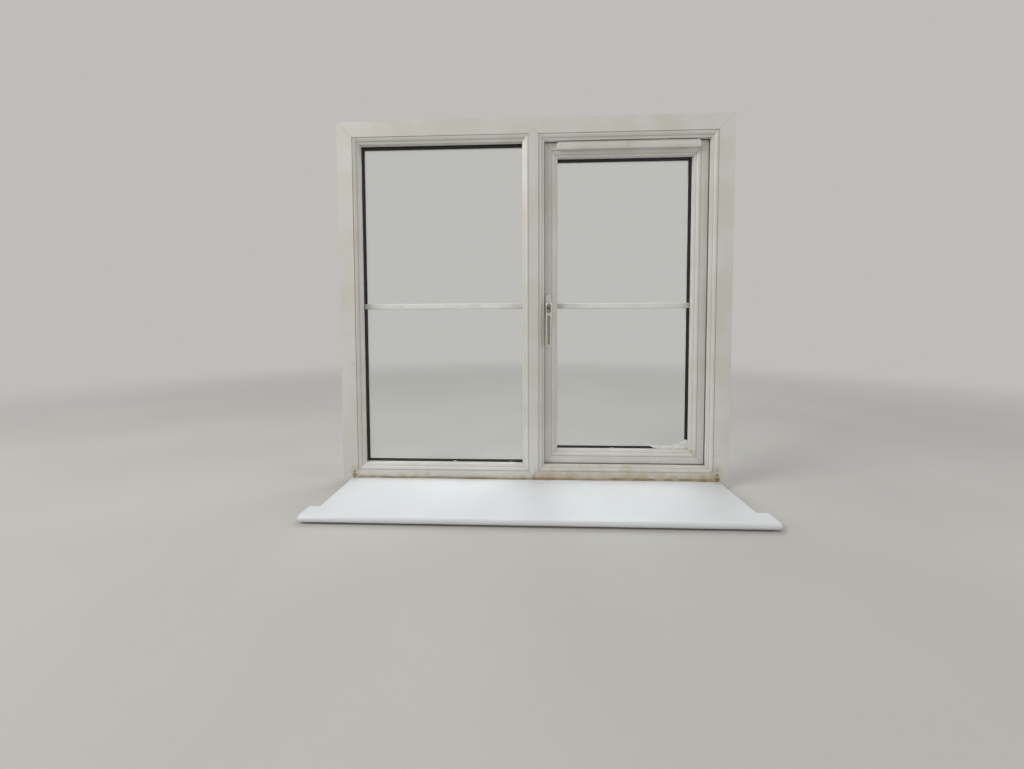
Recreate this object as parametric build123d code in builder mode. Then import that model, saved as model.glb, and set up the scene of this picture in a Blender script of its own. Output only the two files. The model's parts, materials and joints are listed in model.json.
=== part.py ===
"""White uPVC casement window with a fixed light, an opening light and its window board.

Millimetres. X runs along the wall, to the right as seen from the room. Y runs through the wall, from
the room to the outside. Z is up. The origin is the middle of the frame foot's underside.
"""
import math
import os

from build123d import *

os.makedirs("parts", exist_ok=True)

# Overall sizes of the window
frame_width = 1300.0
frame_height = 1220.0
mullion_offset = 4.0        # the mullion stands this far right of the middle

# Outer frame extrusion: depth runs through the wall, reach runs in towards the glass
frame_depth = 70.0
frame_base = 50.0           # reach of the hollow base, up to the rebate floor
leg_height = 20.0           # the room-side leg stands this far above the rebate floor
frame_leg_thickness = 22.0
mullion_base = 31.4         # width of the mullion between its two rebate floors
wall = 3.0                  # outer walls of every extrusion

# Sculpted room-side edge of every leg
sculpt_width = 19.0
quirk = 1.2                 # small step where the flat face ends
crease_depth = 7.6          # depth of the line between the curve and the plain nib
nib_width = 7.0
tip_depth = 11.0
curve_bulge = 1.6

# Casement extrusion
sash_depth = 66.0
sash_base = 32.7
sash_leg_thickness = 18.0
flange_thickness = 18.0
flange_overlap = 8.0        # the flange covers this much of the frame's outside face
airspace = 12.0             # between the frame's rebate floor and the casement's edge
seal_gap = 4.0              # between frame leg and casement, and between frame and flange
groove_width = 16.4         # hardware groove round the casement's edge
groove_depth = 3.0
groove_start = 20.0         # from the casement's room face

# Sealed units and what holds them
pane_thickness = 4.0
unit_thickness = 28.0
gasket_thickness = 3.0
glass_edge_gap = 5.0
gasket_lip = 2.0            # the gasket stands this far past the leg's tip
gasket_cover = 9.0          # and reaches this far behind it
seal_width = 4.0
seal_rest_gap = 0.3         # the weather seals end this far short of the face they press on
seal_lap = 2.0              # and lie this far behind the edge of what carries or covers them
spacer_reach = 12.0
spacer_lip = 0.8
bar_width = 18.0
bar_thickness = 8.0
bar_edge_radius = 1.6
packer_length = 100.0
packer_inset = 60.0
bead_foot_thickness = 3.0
bead_foot_depth = 2.5
bead_foot_inset = 4.0
bead_clearance = 0.2
bead_slope = 4.0
bead_slope_reach = 8.0

# Hollow chambers
web = 3.0
steel_start = 20.0
steel_depth = 26.0
steel_wall = 1.5
steel_clearance = 0.3
steel_end_gap = 60.0

# Window board and its bead of sealant
board_thickness = 18.0
board_top = 23.0
frame_cover = 32.5          # the reveals hide this much of each jamb, so the board ends there
reveal_depth = 213.4
board_overhang = 63.3
board_horn = 36.5
board_clearance = 0.6
board_corner_radius = 14.0
board_nosing_radius = 8.6
board_edge_gap = 1.0        # the sealant ends this far short of the board's ends
sealant_size = 4.5
sealant_bow = 1.6

# Lock gear in the casement's lock stile
backset = 22.0              # spindle centre from the casement's edge
handle_height = 609.0       # spindle centre
face_thickness = 2.5
face_length = 980.0
face_clearance = 0.2
rod_width = 12.0
rod_thickness = 2.2
rod_length = 900.0
rod_clearance = 0.2
rod_stroke = 13.4
rod_channel_end = 2.0
case_half_height = 30.0
case_thickness = 12.0
case_reach = 31.5
case_wall = 1.2
case_end_gap = 1.0
case_hole_radius = 5.6      # for the turning spindle
pinion_radius = 8.0
pinion_thickness = 8.0
gear_clearance = 0.3
cam_radius = 4.0
cam_stem_radius = 2.6
cam_height = 7.0
cam_head = 2.0
cam_body_radius = 3.4
cam_body_gap = 0.5          # between the cam's body and the face strip
cam_slot_clearance = 0.5
cam_slot_end = 1.0
cam_spacing = 380.0
keep_thickness = 3.0
keep_length = 46.0
keep_width = 26.0
keep_lip = 5.0
keep_lip_thickness = 3.0
keep_lip_gap = 0.5          # between the cam and the lip's inner face
keep_lip_end = 3.0          # the lip ends this far short of the plate's end
keep_cam_gap = 0.6

# Handle
handle_base_width = 21.0
handle_base_height = 76.0
handle_base_depth = 8.5
base_edge_radius = 3.8
neck_radius = 7.6
neck_clearance = 0.05
neck_end_gap = 0.2          # between the lever's neck and the casement's face
screw_clearance = 0.05
lever_width = 20.0
lever_end_width = 15.0
lever_below = 134.0         # from the spindle centre to the lever's end
hub_above = 13.2
hub_below = 26.0
hub_depth = 27.0
hub_round = 12.0            # rounding from the hub's front to its top
hub_round_sag = 3.5
hub_side_radius = 2.0
hub_back_rise = 4.0         # chamfer at the top of the hub's back
hub_back_run = 5.0
arm_step = 3.0              # the arm's front lies this far behind the hub's front
arm_shoulder = 2.0          # height of the slope between the two
arm_root = 12.0             # the arm's back reaches the hub this far below it
lever_thickness = 12.0
lever_crank = 7.0           # the lever's end stands this much further into the room
lever_lift = 0.5            # between the base and the turning lever
lever_edge_radius = 2.4
lever_rim = 3.4             # width of the rim round the lever's dished front
lever_dish = 1.0
lever_dish_start = 10.0     # below the hub
spindle_side = 7.0
spindle_length = 45.0
spindle_seat = 1.8          # depth in the lever, besides its neck
spindle_end_gap = 0.2
spindle_clearance = 0.05
screw_spacing = 52.0
screw_radius = 2.4
screw_head_radius = 4.2
screw_head_height = 2.2
screw_head_sink = 0.4
screw_end_gap = 1.0         # the handle's screws end this far short of the gear case
lock_radius = 4.2
lock_length = 13.0
lock_clearance = 0.08
lock_end_gap = 0.1
lock_sink = 0.3
lock_drop = 9.0             # the key cylinder sits this far below the spindle
keyway_width = 1.4
keyway_height = 5.0
keyway_depth = 6.0

# Trickle vent on the casement's head
vent_length = 468.0
vent_height = 24.0
vent_depth = 14.0
vent_offset = 4.5           # the vent sits this far right of the casement's middle
vent_below_tip = 3.5        # below the frame's leg
vent_end_radius = 10.5
vent_lip = 5.5
vent_rim = 2.2
vent_edge_radius = 1.5
vent_end_wall = 12.0
flap_thickness = 3.0
flap_recess = 0.6           # the flap's face lies this far behind the body's
flap_clearance = 0.4
flap_pin_radius = 1.2
flap_pin_clearance = 0.05
flap_pin_length = 3.0
flap_pin_end_gap = 0.2
flap_tab_width = 7.0
flap_tab_height = 9.0
flap_tab_depth = 1.2
flap_tab_drop = 0.6
slot_length = 170.0
slot_height = 11.0
slot_gap = 30.0
canopy_depth = 17.0
canopy_height = 30.0
canopy_slope = 8.5
canopy_wall = 1.8

# Stays between the casement and the frame, at head and foot
stay_arm_length = 150.0     # also the distance from the casement's turning point to the arm's pivot
stay_arm_width = 14.0
turning_beyond = 12.0       # the turning point lies this far past the flange's edge
opening_angle = 60.0
track_width = 17.0
track_floor = 1.8
track_lip_height = 4.4
track_lip_thickness = 1.5
shoe_length = 34.0
shoe_side_clearance = 0.3
shoe_corner_radius = 2.0
track_end = 12.0
track_screw_edge = 8.0      # screw centres from the track's ends
shoe_lift = 0.2
stay_layer_gap = 0.4
arm_thickness = 2.4
stay_plate_thickness = 2.4
stay_plate_length = 180.0
stay_plate_width = 20.0
stay_plate_inset = 4.0
plate_screw_edge = 10.0     # screw centres from the plate's ends
plate_screw_second = 50.0
rivet_radius = 3.0
rivet_clearance = 0.06
stay_screw_radius = 2.0
stay_screw_head_radius = 3.6
stay_screw_head_height = 1.2
stay_screw_length = 16.0

# Fixing holes through the jambs, and drainage of the foot
fixing_radius = 4.0
fixing_end = 150.0
drain_slot_length = 26.0
drain_slot_height = 5.0
drain_slot_inset = 9.0      # from the frame's outside face
drain_cap_length = 42.0
drain_cap_height = 14.0
drain_cap_depth = 5.0
drain_cap_wall = 1.5
drain_cap_rise = 2.0        # the cap's middle above the slot's
drain_end = 260.0

# How far a cut runs past the surface that it starts from, and how closely places are compared
overcut = 1.0
near = 0.01

# Worked out from the sizes above
room_face = -frame_depth / 2
frame_tip = frame_base + leg_height
sash_tip = sash_base + leg_height
bead_thickness = frame_depth - frame_leg_thickness - unit_thickness - 2 * gasket_thickness
sash_bead_thickness = sash_depth - sash_leg_thickness - unit_thickness - 2 * gasket_thickness
flange_reach = airspace + flange_overlap
mullion_half = mullion_base / 2
mullion_tip = mullion_half + leg_height
sash_face = room_face + frame_leg_thickness + seal_gap
sash_outside = sash_face + sash_depth
flange_start = sash_depth - flange_thickness
sash_chamber = (groove_depth + 2 * wall, sash_base - 2 * web)
opening_width = frame_width - 2 * frame_cover

# Rectangles in the plane of the wall, each as left, right, foot and head
frame_rect = (-frame_width / 2, frame_width / 2, 0.0, frame_height)
fixed_rect = (frame_rect[0] + frame_base, mullion_offset - mullion_half, frame_base, frame_height - frame_base)
vent_rect = (mullion_offset + mullion_half, frame_rect[1] - frame_base, fixed_rect[2], fixed_rect[3])


def inset(rect, amount):
    """The rectangle drawn in by an amount on all sides."""
    left, right, foot, head = rect
    return (left + amount, right - amount, foot + amount, head - amount)


sash_rect = inset(vent_rect, airspace)
sash_glass_rect = inset(sash_rect, sash_base)


def sides(rect):
    """The four sides of a rectangle: name, middle of the edge, direction inward, length."""
    left, right, foot, head = rect
    middle_x = (left + right) / 2
    middle_z = (foot + head) / 2
    return {
        "head": ((middle_x, head), (0, -1), right - left),
        "foot": ((middle_x, foot), (0, 1), right - left),
        "left": ((left, middle_z), (1, 0), head - foot),
        "right": ((right, middle_z), (-1, 0), head - foot),
    }


def section_plane(edge, inward, face):
    """Local X runs out through the wall from the face, local Y runs inward from the edge."""
    normal = Vector(0, 1, 0).cross(Vector(inward[0], 0, inward[1]))
    return Plane(origin=(edge[0], face, edge[1]), x_dir=(0, 1, 0), z_dir=normal)


def cut_mitres(edge, inward, length):
    """Cuts both ends of a member at 45 degrees through the corners of its rectangle."""
    along = Vector(inward[1], 0, inward[0])
    into = Vector(inward[0], 0, inward[1])
    middle = Vector(edge[0], 0, edge[1])
    for way in (1, -1):
        corner = middle - along * way * length / 2
        split(bisect_by=Plane(origin=corner, z_dir=along * way - into), keep=Keep.TOP)


def sculpted_edge(flat_end, tip):
    """Room-side line of a leg from the end of its flat face to its tip: quirk, curve and nib."""
    way = 1 if tip > flat_end else -1
    crease = tip - way * nib_width
    Line((0, flat_end), (quirk, flat_end))
    middle_depth = (quirk + crease_depth) / 2 - curve_bulge
    middle_reach = (flat_end + crease) / 2 + way * curve_bulge / 2
    ThreePointArc((quirk, flat_end), (middle_depth, middle_reach), (crease_depth, crease))
    Line((crease_depth, crease), (tip_depth, tip))


def chamber(depth_low, depth_high, reach_low, reach_high):
    """A hollow chamber in a section."""
    with Locations(((depth_low + depth_high) / 2, (reach_low + reach_high) / 2)):
        Rectangle(depth_high - depth_low, reach_high - reach_low, mode=Mode.SUBTRACT)


def leg_chamber(leg_thickness, root, way):
    """The small chamber behind a leg's sculpted edge."""
    low = root + way * web / 2
    high = root + way * (leg_height - nib_width - web / 2)
    chamber(crease_depth + web, leg_thickness - web, min(low, high), max(low, high))


def bead_groove(depth, reach, way):
    """The groove in a rebate floor that a glazing bead clips into."""
    groove = bead_foot_depth + bead_clearance
    low, high = sorted((reach, reach - way * groove))
    chamber(depth - bead_clearance, depth + bead_foot_thickness + bead_clearance, low, high)


def frame_section():
    """The outer frame's section: hollow base, room-side leg with its sculpted edge."""
    with BuildLine() as outline:
        flat_end = frame_tip - sculpt_width
        Line((0, 0), (0, flat_end))
        sculpted_edge(flat_end, frame_tip)
        Polyline((tip_depth, frame_tip), (frame_leg_thickness, frame_tip), (frame_leg_thickness, frame_base),
                 (frame_depth, frame_base), (frame_depth, 0), (0, 0))
    make_face(outline.edges())
    top = frame_base - web * 2
    chamber(wall, steel_start - web, wall, top)
    chamber(steel_start, steel_start + steel_depth, wall, top)
    chamber(steel_start + steel_depth + web, frame_depth - wall, wall, top)
    leg_chamber(frame_leg_thickness, frame_base, 1)
    bead_groove(frame_depth - bead_thickness + bead_foot_inset, frame_base, 1)


def mullion_section():
    """The mullion's section: hollow base with a sculpted leg on each side."""
    with BuildLine() as outline:
        flat_end = mullion_tip - sculpt_width
        Line((0, -flat_end), (0, flat_end))
        for way in (1, -1):
            sculpted_edge(way * flat_end, way * mullion_tip)
            Polyline((tip_depth, way * mullion_tip), (frame_leg_thickness, way * mullion_tip),
                     (frame_leg_thickness, way * mullion_half), (frame_depth, way * mullion_half))
        Line((frame_depth, -mullion_half), (frame_depth, mullion_half))
    make_face(outline.edges())
    side = mullion_half - wall
    chamber(wall, steel_start - web, -side, side)
    chamber(steel_start, steel_start + steel_depth, -side, side)
    outer_side = side - web
    chamber(steel_start + steel_depth + web, frame_depth - wall, -outer_side, outer_side)
    for way in (1, -1):
        leg_chamber(frame_leg_thickness, way * mullion_half, way)
        bead_groove(frame_depth - bead_thickness + bead_foot_inset, way * mullion_half, way)


def sash_section():
    """The casement's section: base with hardware groove, outside flange, sculpted leg."""
    with BuildLine() as outline:
        flat_end = sash_tip - sculpt_width
        Line((0, 0), (0, flat_end))
        sculpted_edge(flat_end, sash_tip)
        Polyline((tip_depth, sash_tip), (sash_leg_thickness, sash_tip), (sash_leg_thickness, sash_base),
                 (sash_depth, sash_base), (sash_depth, -flange_reach), (flange_start, -flange_reach),
                 (flange_start, 0), (0, 0))
    make_face(outline.edges())
    chamber(groove_start, groove_start + groove_width, 0, groove_depth)
    top = sash_chamber[1]
    chamber(wall, groove_start - web, wall, top)
    chamber(groove_start, flange_start - wall, *sash_chamber)
    chamber(flange_start + wall, sash_depth - wall, wall - flange_reach, top)
    leg_chamber(sash_leg_thickness, sash_base, 1)
    bead_groove(sash_depth - sash_bead_thickness + bead_foot_inset, sash_base, 1)


def bead_section(depth, thickness):
    """A glazing bead's section: sloped outside face, square room side, foot in its groove."""
    foot_low = depth + bead_foot_inset
    foot_high = foot_low + bead_foot_thickness
    with BuildLine() as outline:
        Polyline((depth, 0), (foot_low, 0), (foot_low, -bead_foot_depth), (foot_high, -bead_foot_depth),
                 (foot_high, 0), (depth + thickness, 0), (depth + thickness, leg_height - bead_slope_reach),
                 (depth + thickness - bead_slope, leg_height), (depth, leg_height), (depth, 0))
    make_face(outline.edges())


def facing_plane(y):
    """A plane seen from the room: local X is X, local Y is Z, and extrusion comes towards the room."""
    return Plane(origin=(0, y, 0), x_dir=(1, 0, 0), z_dir=(0, -1, 0))


def rectangle_of(rect, mode=Mode.ADD):
    """A rectangle given by its left, right, foot and head."""
    left, right, foot, head = rect
    with Locations(((left + right) / 2, (foot + head) / 2)):
        Rectangle(right - left, head - foot, mode=mode)


def finish(part, name):
    """Labels a finished piece and writes it."""
    part.part.label = name
    export_step(part.part, f"parts/{name}.step")


# Where the stays go. The casement turns about a point on the track's line. The arm is as long as the
# distance from that point to its pivot, so its other end runs straight along the track.
stay_y = sash_face + groove_start + groove_width / 2
turning_x = sash_rect[1] + flange_reach + turning_beyond
arm_pivot_x = turning_x - stay_arm_length
shoe_pivot_x = arm_pivot_x - stay_arm_length
shoe_travel = 2 * stay_arm_length * (1 - math.cos(math.radians(opening_angle)))
shoe_foot = track_floor + shoe_lift
arm_foot = airspace - stay_plate_thickness - stay_layer_gap - arm_thickness
shoe_top = arm_foot - stay_layer_gap
track_left = shoe_pivot_x - shoe_length / 2 - track_end
track_right = shoe_pivot_x + shoe_travel + shoe_length / 2 + track_end
plate_right = sash_rect[1] - stay_plate_inset
plate_left = plate_right - stay_plate_length
track_screw_xs = [track_left + track_screw_edge, track_right - track_screw_edge]
plate_screw_xs = [plate_left + plate_screw_edge, plate_left + plate_screw_second, plate_right - plate_screw_edge]
stay_places = (("upper", vent_rect[3], -1), ("lower", vent_rect[2], 1))


def stay_layer(level, direction, offset):
    """A plane at an offset from the frame's rebate floor, whose normal points at the casement."""
    return Plane(origin=(0, 0, level + direction * offset), x_dir=(1, 0, 0), z_dir=(0, 0, direction))


def drill_for_screws(side, xs, seat, into):
    """Screw holes in a member at the head or foot, below a seat offset from the rebate floor."""
    for place, level, direction in stay_places:
        if (place == "upper") == (side == "head"):
            with BuildSketch(stay_layer(level, direction, seat)) as holes:
                with Locations(*[(x, direction * stay_y) for x in xs]):
                    Circle(stay_screw_radius + screw_clearance)
            extrude(holes.sketch, amount=into * (stay_screw_length + overcut), mode=Mode.SUBTRACT)


# The four members of the outer frame, mitred and welded
for side, (edge, inward, length) in sides(frame_rect).items():
    with BuildPart() as frame_member:
        with BuildSketch(section_plane(edge, inward, room_face)):
            frame_section()
        extrude(amount=length / 2, both=True)
        cut_mitres(edge, inward, length)
        if side in ("head", "foot"):
            # notch for the mullion's V-shaped end
            level = edge[1] + inward[1] * (frame_tip - mullion_tip)
            lip = edge[1] + inward[1] * (frame_tip + overcut)
            spread = mullion_tip + overcut
            with BuildSketch(facing_plane(room_face + frame_depth + overcut)):
                with BuildLine():
                    Polyline((mullion_offset, level), (mullion_offset + spread, lip),
                             (mullion_offset - spread, lip), (mullion_offset, level))
                make_face()
            extrude(amount=frame_depth + 2 * overcut, mode=Mode.SUBTRACT)
            drill_for_screws(side, track_screw_xs, 0, -1)
        if side == "foot":
            # drainage: slots through the rebate floor and through the outside wall
            for centre in (-frame_width / 2 + drain_end, frame_width / 2 - drain_end):
                slot_y = room_face + frame_depth - drain_slot_inset
                with BuildSketch(Plane.XY.offset(frame_base + overcut)):
                    with Locations((centre, slot_y)):
                        SlotOverall(drain_slot_length, drain_slot_height)
                extrude(amount=-(2 * web + 2 * overcut), mode=Mode.SUBTRACT)
                with BuildSketch(facing_plane(room_face + frame_depth + overcut)):
                    with Locations((centre, wall + drain_slot_height)):
                        SlotOverall(drain_slot_length, drain_slot_height)
                extrude(amount=wall + 2 * overcut, mode=Mode.SUBTRACT)
        if side in ("left", "right"):
            # fixing holes through the base, two near the ends and two between
            span = frame_height - 2 * fixing_end
            outward = Plane(origin=(edge[0], 0, 0), x_dir=(0, 1, 0), z_dir=(inward[0], 0, 0))
            with BuildSketch(outward):
                for step in range(4):
                    with Locations((0, inward[0] * (fixing_end + span * step / 3))):
                        Circle(fixing_radius)
            extrude(amount=frame_base + overcut, mode=Mode.SUBTRACT)
    finish(frame_member, f"frame_{side}" if side in ("head", "foot") else f"frame_{side}_jamb")

# Mullion with V ends, and the steel inside it
with BuildPart() as mullion:
    mullion_foot = frame_tip - mullion_tip
    mullion_head = frame_height - mullion_foot
    mullion_edge = (mullion_offset, frame_height / 2)
    with BuildSketch(section_plane(mullion_edge, (1, 0), room_face)):
        mullion_section()
    extrude(amount=mullion_head - frame_height / 2, both=True)
    with BuildSketch(facing_plane(room_face + frame_depth)):
        with BuildLine():
            left_x = mullion_offset - mullion_tip
            right_x = mullion_offset + mullion_tip
            Polyline((mullion_offset, mullion_foot), (right_x, frame_tip), (right_x, frame_height - frame_tip),
                     (mullion_offset, mullion_head), (left_x, frame_height - frame_tip), (left_x, frame_tip),
                     (mullion_offset, mullion_foot))
        make_face()
    extrude(amount=frame_depth, mode=Mode.INTERSECT)
finish(mullion, "mullion")


def steel_box(width, depth, plane, length):
    """A hollow steel section, extruded both ways from its plane."""
    with BuildSketch(plane) as box:
        Rectangle(depth, width)
        Rectangle(depth - 2 * steel_wall, width - 2 * steel_wall, mode=Mode.SUBTRACT)
    extrude(box.sketch, amount=length / 2, both=True)


with BuildPart() as mullion_reinforcement:
    steel_y = room_face + steel_start + steel_depth / 2
    steel_box(
        mullion_base - 2 * wall - 2 * steel_clearance,
        steel_depth - 2 * steel_clearance,
        section_plane((mullion_offset, frame_height / 2), (1, 0), steel_y),
        frame_height - 2 * (frame_base + steel_end_gap),
    )
finish(mullion_reinforcement, "mullion_reinforcement")

# The four members of the casement, mitred and welded
lock_edge_x = sash_rect[0]
spindle_x = lock_edge_x + backset
gear_y = stay_y
vent_centre_x = (sash_rect[0] + sash_rect[1]) / 2 + vent_offset
vent_top = frame_height - frame_tip - vent_below_tip
vent_middle = vent_top - vent_height / 2
slot_centres = [vent_centre_x - (slot_length + slot_gap) / 2, vent_centre_x + (slot_length + slot_gap) / 2]
slot_z = sash_rect[3] - sash_base + wall + slot_height / 2
gear_span = case_half_height + case_end_gap
screw_levels = (handle_height - screw_spacing / 2, handle_height + screw_spacing / 2)
sash_names = {"head": "sash_head", "foot": "sash_foot", "left": "sash_lock_stile", "right": "sash_hinge_stile"}

for side, (edge, inward, length) in sides(sash_rect).items():
    with BuildPart() as sash_member:
        with BuildSketch(section_plane(edge, inward, sash_face)):
            sash_section()
        extrude(amount=length / 2 + flange_reach, both=True)
        cut_mitres(edge, inward, length)
        if side in ("head", "foot"):
            drill_for_screws(side, plate_screw_xs, airspace, 1)
        if side == "head":
            # air slots behind the trickle vent
            with BuildSketch(facing_plane(sash_outside + overcut)):
                with Locations(*[(x, slot_z) for x in slot_centres]):
                    SlotOverall(slot_length, slot_height)
            extrude(amount=sash_depth + 2 * overcut, mode=Mode.SUBTRACT)
        if side == "left":
            # channel for the sliding rod, pocket for the gear case, holes for spindle and screws
            rod_room = rod_thickness + 2 * rod_clearance
            channel_length = rod_length + 2 * rod_stroke + 2 * rod_channel_end
            with Locations((lock_edge_x + groove_depth + rod_room / 2, gear_y, handle_height)):
                Box(rod_room, rod_width + 2 * rod_clearance, channel_length, mode=Mode.SUBTRACT)
            pocket_reach = case_reach + gear_clearance
            with Locations((lock_edge_x + pocket_reach / 2, gear_y, handle_height)):
                Box(pocket_reach, case_thickness + 2 * gear_clearance, 2 * gear_span, mode=Mode.SUBTRACT)
            with BuildSketch(facing_plane(gear_y)):
                with Locations((spindle_x, handle_height)):
                    Circle(neck_radius)
                with Locations(*[(spindle_x, z) for z in screw_levels]):
                    Circle(screw_radius + screw_clearance)
            extrude(amount=gear_y - sash_face + overcut, mode=Mode.SUBTRACT)
    finish(sash_member, sash_names[side])

with BuildPart() as sash_reinforcement:
    # one steel box, in the chamber of the stile that carries the weight
    chamber_depth = flange_start - wall - groove_start
    steel_x = sash_rect[1] - sum(sash_chamber) / 2
    steel_middle = sash_face + groove_start + chamber_depth / 2
    steel_box(
        sash_chamber[1] - sash_chamber[0] - 2 * steel_clearance,
        chamber_depth - 2 * steel_clearance,
        section_plane((steel_x, (sash_rect[2] + sash_rect[3]) / 2), (1, 0), steel_middle),
        sash_rect[3] - sash_rect[2] - 2 * steel_end_gap,
    )
finish(sash_reinforcement, "sash_reinforcement")


# Sealed units: two panes, spacer, glazing bar, gaskets, packers and beads
def ring(outer, inner, y_low, y_high):
    """A flat rectangular ring between two depths."""
    with BuildSketch(facing_plane(y_high)) as band:
        rectangle_of(outer)
        rectangle_of(inner, mode=Mode.SUBTRACT)
    extrude(band.sketch, amount=y_high - y_low)


def glaze(prefix, rebate, face, leg_thickness, bead_size, depth):
    """Makes everything that glazes one light, from its rebate rectangle and its room face."""
    glass_rect = inset(rebate, glass_edge_gap)
    sight_rect = inset(rebate, leg_height)
    inner_y = face + leg_thickness + gasket_thickness
    outer_y = inner_y + unit_thickness
    for name, low in (("inner_pane", inner_y), ("outer_pane", outer_y - pane_thickness)):
        with BuildPart() as pane:
            with BuildSketch(facing_plane(low + pane_thickness)):
                rectangle_of(glass_rect)
            extrude(amount=pane_thickness)
        finish(pane, f"{prefix}_{name}")

    cavity_low = inner_y + pane_thickness
    cavity_high = outer_y - pane_thickness
    spacer_inner = inset(sight_rect, spacer_lip)
    with BuildPart() as spacer:
        ring(inset(spacer_inner, -spacer_reach), spacer_inner, cavity_low, cavity_high)
    finish(spacer, f"{prefix}_spacer")

    with BuildPart() as bar:
        bar_z = (rebate[2] + rebate[3]) / 2
        bar_y = (cavity_low + cavity_high) / 2
        with Locations(((rebate[0] + rebate[1]) / 2, bar_y, bar_z)):
            Box(spacer_inner[1] - spacer_inner[0], bar_thickness, bar_width)
        fillet(bar.edges().filter_by(Axis.X), bar_edge_radius)
    finish(bar, f"{prefix}_glazing_bar")

    for name, low in (("inner_gasket", inner_y - gasket_thickness), ("outer_gasket", outer_y)):
        with BuildPart() as gasket:
            ring(inset(sight_rect, -gasket_cover), inset(sight_rect, gasket_lip), low, low + gasket_thickness)
        finish(gasket, f"{prefix}_{name}")

    with BuildPart() as packers:
        middle_y = (inner_y + outer_y) / 2
        with Locations(*[
            (x, middle_y, z)
            for x in (rebate[0] + packer_inset + packer_length / 2, rebate[1] - packer_inset - packer_length / 2)
            for z in (rebate[2] + glass_edge_gap / 2, rebate[3] - glass_edge_gap / 2)
        ]):
            Box(packer_length, unit_thickness, glass_edge_gap)
    finish(packers, f"{prefix}_packers")

    for side, (edge, inward, length) in sides(rebate).items():
        with BuildPart() as bead:
            with BuildSketch(section_plane(edge, inward, face)):
                bead_section(depth - bead_size, bead_size)
            extrude(amount=length / 2 + bead_foot_depth, both=True)
            cut_mitres(edge, inward, length)
        finish(bead, f"{prefix}_bead_{side}")


glaze("fixed", fixed_rect, room_face, frame_leg_thickness, bead_thickness, frame_depth)
glaze("sash", sash_glass_rect, sash_face, sash_leg_thickness, sash_bead_thickness, sash_depth)

# Weather seals: on the frame's leg, and on the casement's flange
with BuildPart() as frame_seal:
    seal_inner = inset(vent_rect, leg_height - seal_lap)
    leg_back = room_face + frame_leg_thickness
    ring(inset(seal_inner, -seal_width), seal_inner, leg_back, leg_back + seal_gap - seal_rest_gap)
finish(frame_seal, "frame_seal")

with BuildPart() as sash_seal:
    seal_outer = inset(vent_rect, seal_lap - flange_overlap)
    flange_face = sash_face + flange_start
    ring(seal_outer, inset(seal_outer, seal_width), flange_face - seal_gap + seal_rest_gap, flange_face)
finish(sash_seal, "sash_seal")

# Window board with horns round the reveals, and the sealant bead behind it
with BuildPart() as window_board:
    half_opening = opening_width / 2 - board_clearance
    half_nose = opening_width / 2 + board_horn
    wall_y = room_face - reveal_depth - board_clearance
    nose_y = room_face - reveal_depth - board_overhang
    with BuildSketch(Plane.XY.offset(board_top)):
        with BuildLine():
            Polyline((-half_opening, room_face), (half_opening, room_face), (half_opening, wall_y),
                     (half_nose, wall_y), (half_nose, nose_y), (-half_nose, nose_y),
                     (-half_nose, wall_y), (-half_opening, wall_y), (-half_opening, room_face))
        make_face()
    extrude(amount=-board_thickness)
    corners = window_board.edges().filter_by(Axis.Z).group_by(Axis.Y)[0]
    fillet(corners, board_corner_radius)
    nose_edges = [e for e in window_board.edges()
                  if e.center().Y < wall_y - board_corner_radius / 2 and e.geom_type != GeomType.LINE]
    nose_edges += [e for e in window_board.edges().filter_by(GeomType.LINE)
                   if abs(e.center().Y - nose_y) < near and abs(e.tangent_at(0.5).X) > 1 - near]
    nose_edges += [e for e in window_board.edges().filter_by(Axis.Y) if abs(abs(e.center().X) - half_nose) < near]
    fillet(nose_edges, board_nosing_radius)
finish(window_board, "window_board")

with BuildPart() as board_sealant:
    sealant_edge = (0, board_top)
    with BuildSketch(section_plane(sealant_edge, (0, 1), room_face)):
        with BuildLine():
            Line((0, 0), (0, sealant_size))
            ThreePointArc((0, sealant_size), (-sealant_bow, sealant_bow), (-sealant_size, 0))
            Line((-sealant_size, 0), (0, 0))
        make_face()
    extrude(amount=half_opening - board_edge_gap, both=True)
finish(board_sealant, "board_sealant")

# Lock gear: face strip with its gear case, sliding rod with cams, follower
face_x = lock_edge_x + groove_depth - face_thickness / 2
cam_levels = [handle_height - cam_spacing, handle_height + cam_spacing]
case_low_x = lock_edge_x + groove_depth
case_high_x = lock_edge_x + case_reach
rack_x = spindle_x - pinion_radius - gear_clearance
rod_low_x = lock_edge_x + groove_depth + rod_clearance
rod_high_x = rod_low_x + rod_thickness
spindle_bore = spindle_side + 2 * spindle_clearance

with BuildPart() as espag_case:
    with Locations((face_x, gear_y, handle_height)):
        Box(face_thickness, groove_width - 2 * face_clearance, face_length)
    with Locations(((case_low_x + case_high_x) / 2, gear_y, handle_height)):
        Box(case_high_x - case_low_x, case_thickness, 2 * case_half_height)
    with Locations(((case_low_x + case_high_x - case_wall) / 2, gear_y, handle_height)):
        Box(case_high_x - case_wall - case_low_x, case_thickness - 2 * case_wall,
            2 * (case_half_height + overcut), mode=Mode.SUBTRACT)
    with BuildSketch(facing_plane(gear_y + case_thickness)):
        with Locations((spindle_x, handle_height)):
            Circle(case_hole_radius)
    extrude(amount=2 * case_thickness, mode=Mode.SUBTRACT)
    # slots that the cam stems slide in
    cam_slot_length = rod_stroke + 2 * (cam_stem_radius + cam_slot_end)
    cam_slot_width = 2 * (cam_stem_radius + cam_slot_clearance)
    with BuildSketch(Plane(origin=(lock_edge_x - overcut, 0, 0), x_dir=(0, 1, 0), z_dir=(1, 0, 0))):
        with Locations(*[(gear_y, z - rod_stroke / 2) for z in cam_levels]):
            SlotOverall(cam_slot_length, cam_slot_width, rotation=90)
    extrude(amount=groove_depth + 2 * overcut, mode=Mode.SUBTRACT)
finish(espag_case, "espag_case")

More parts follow.
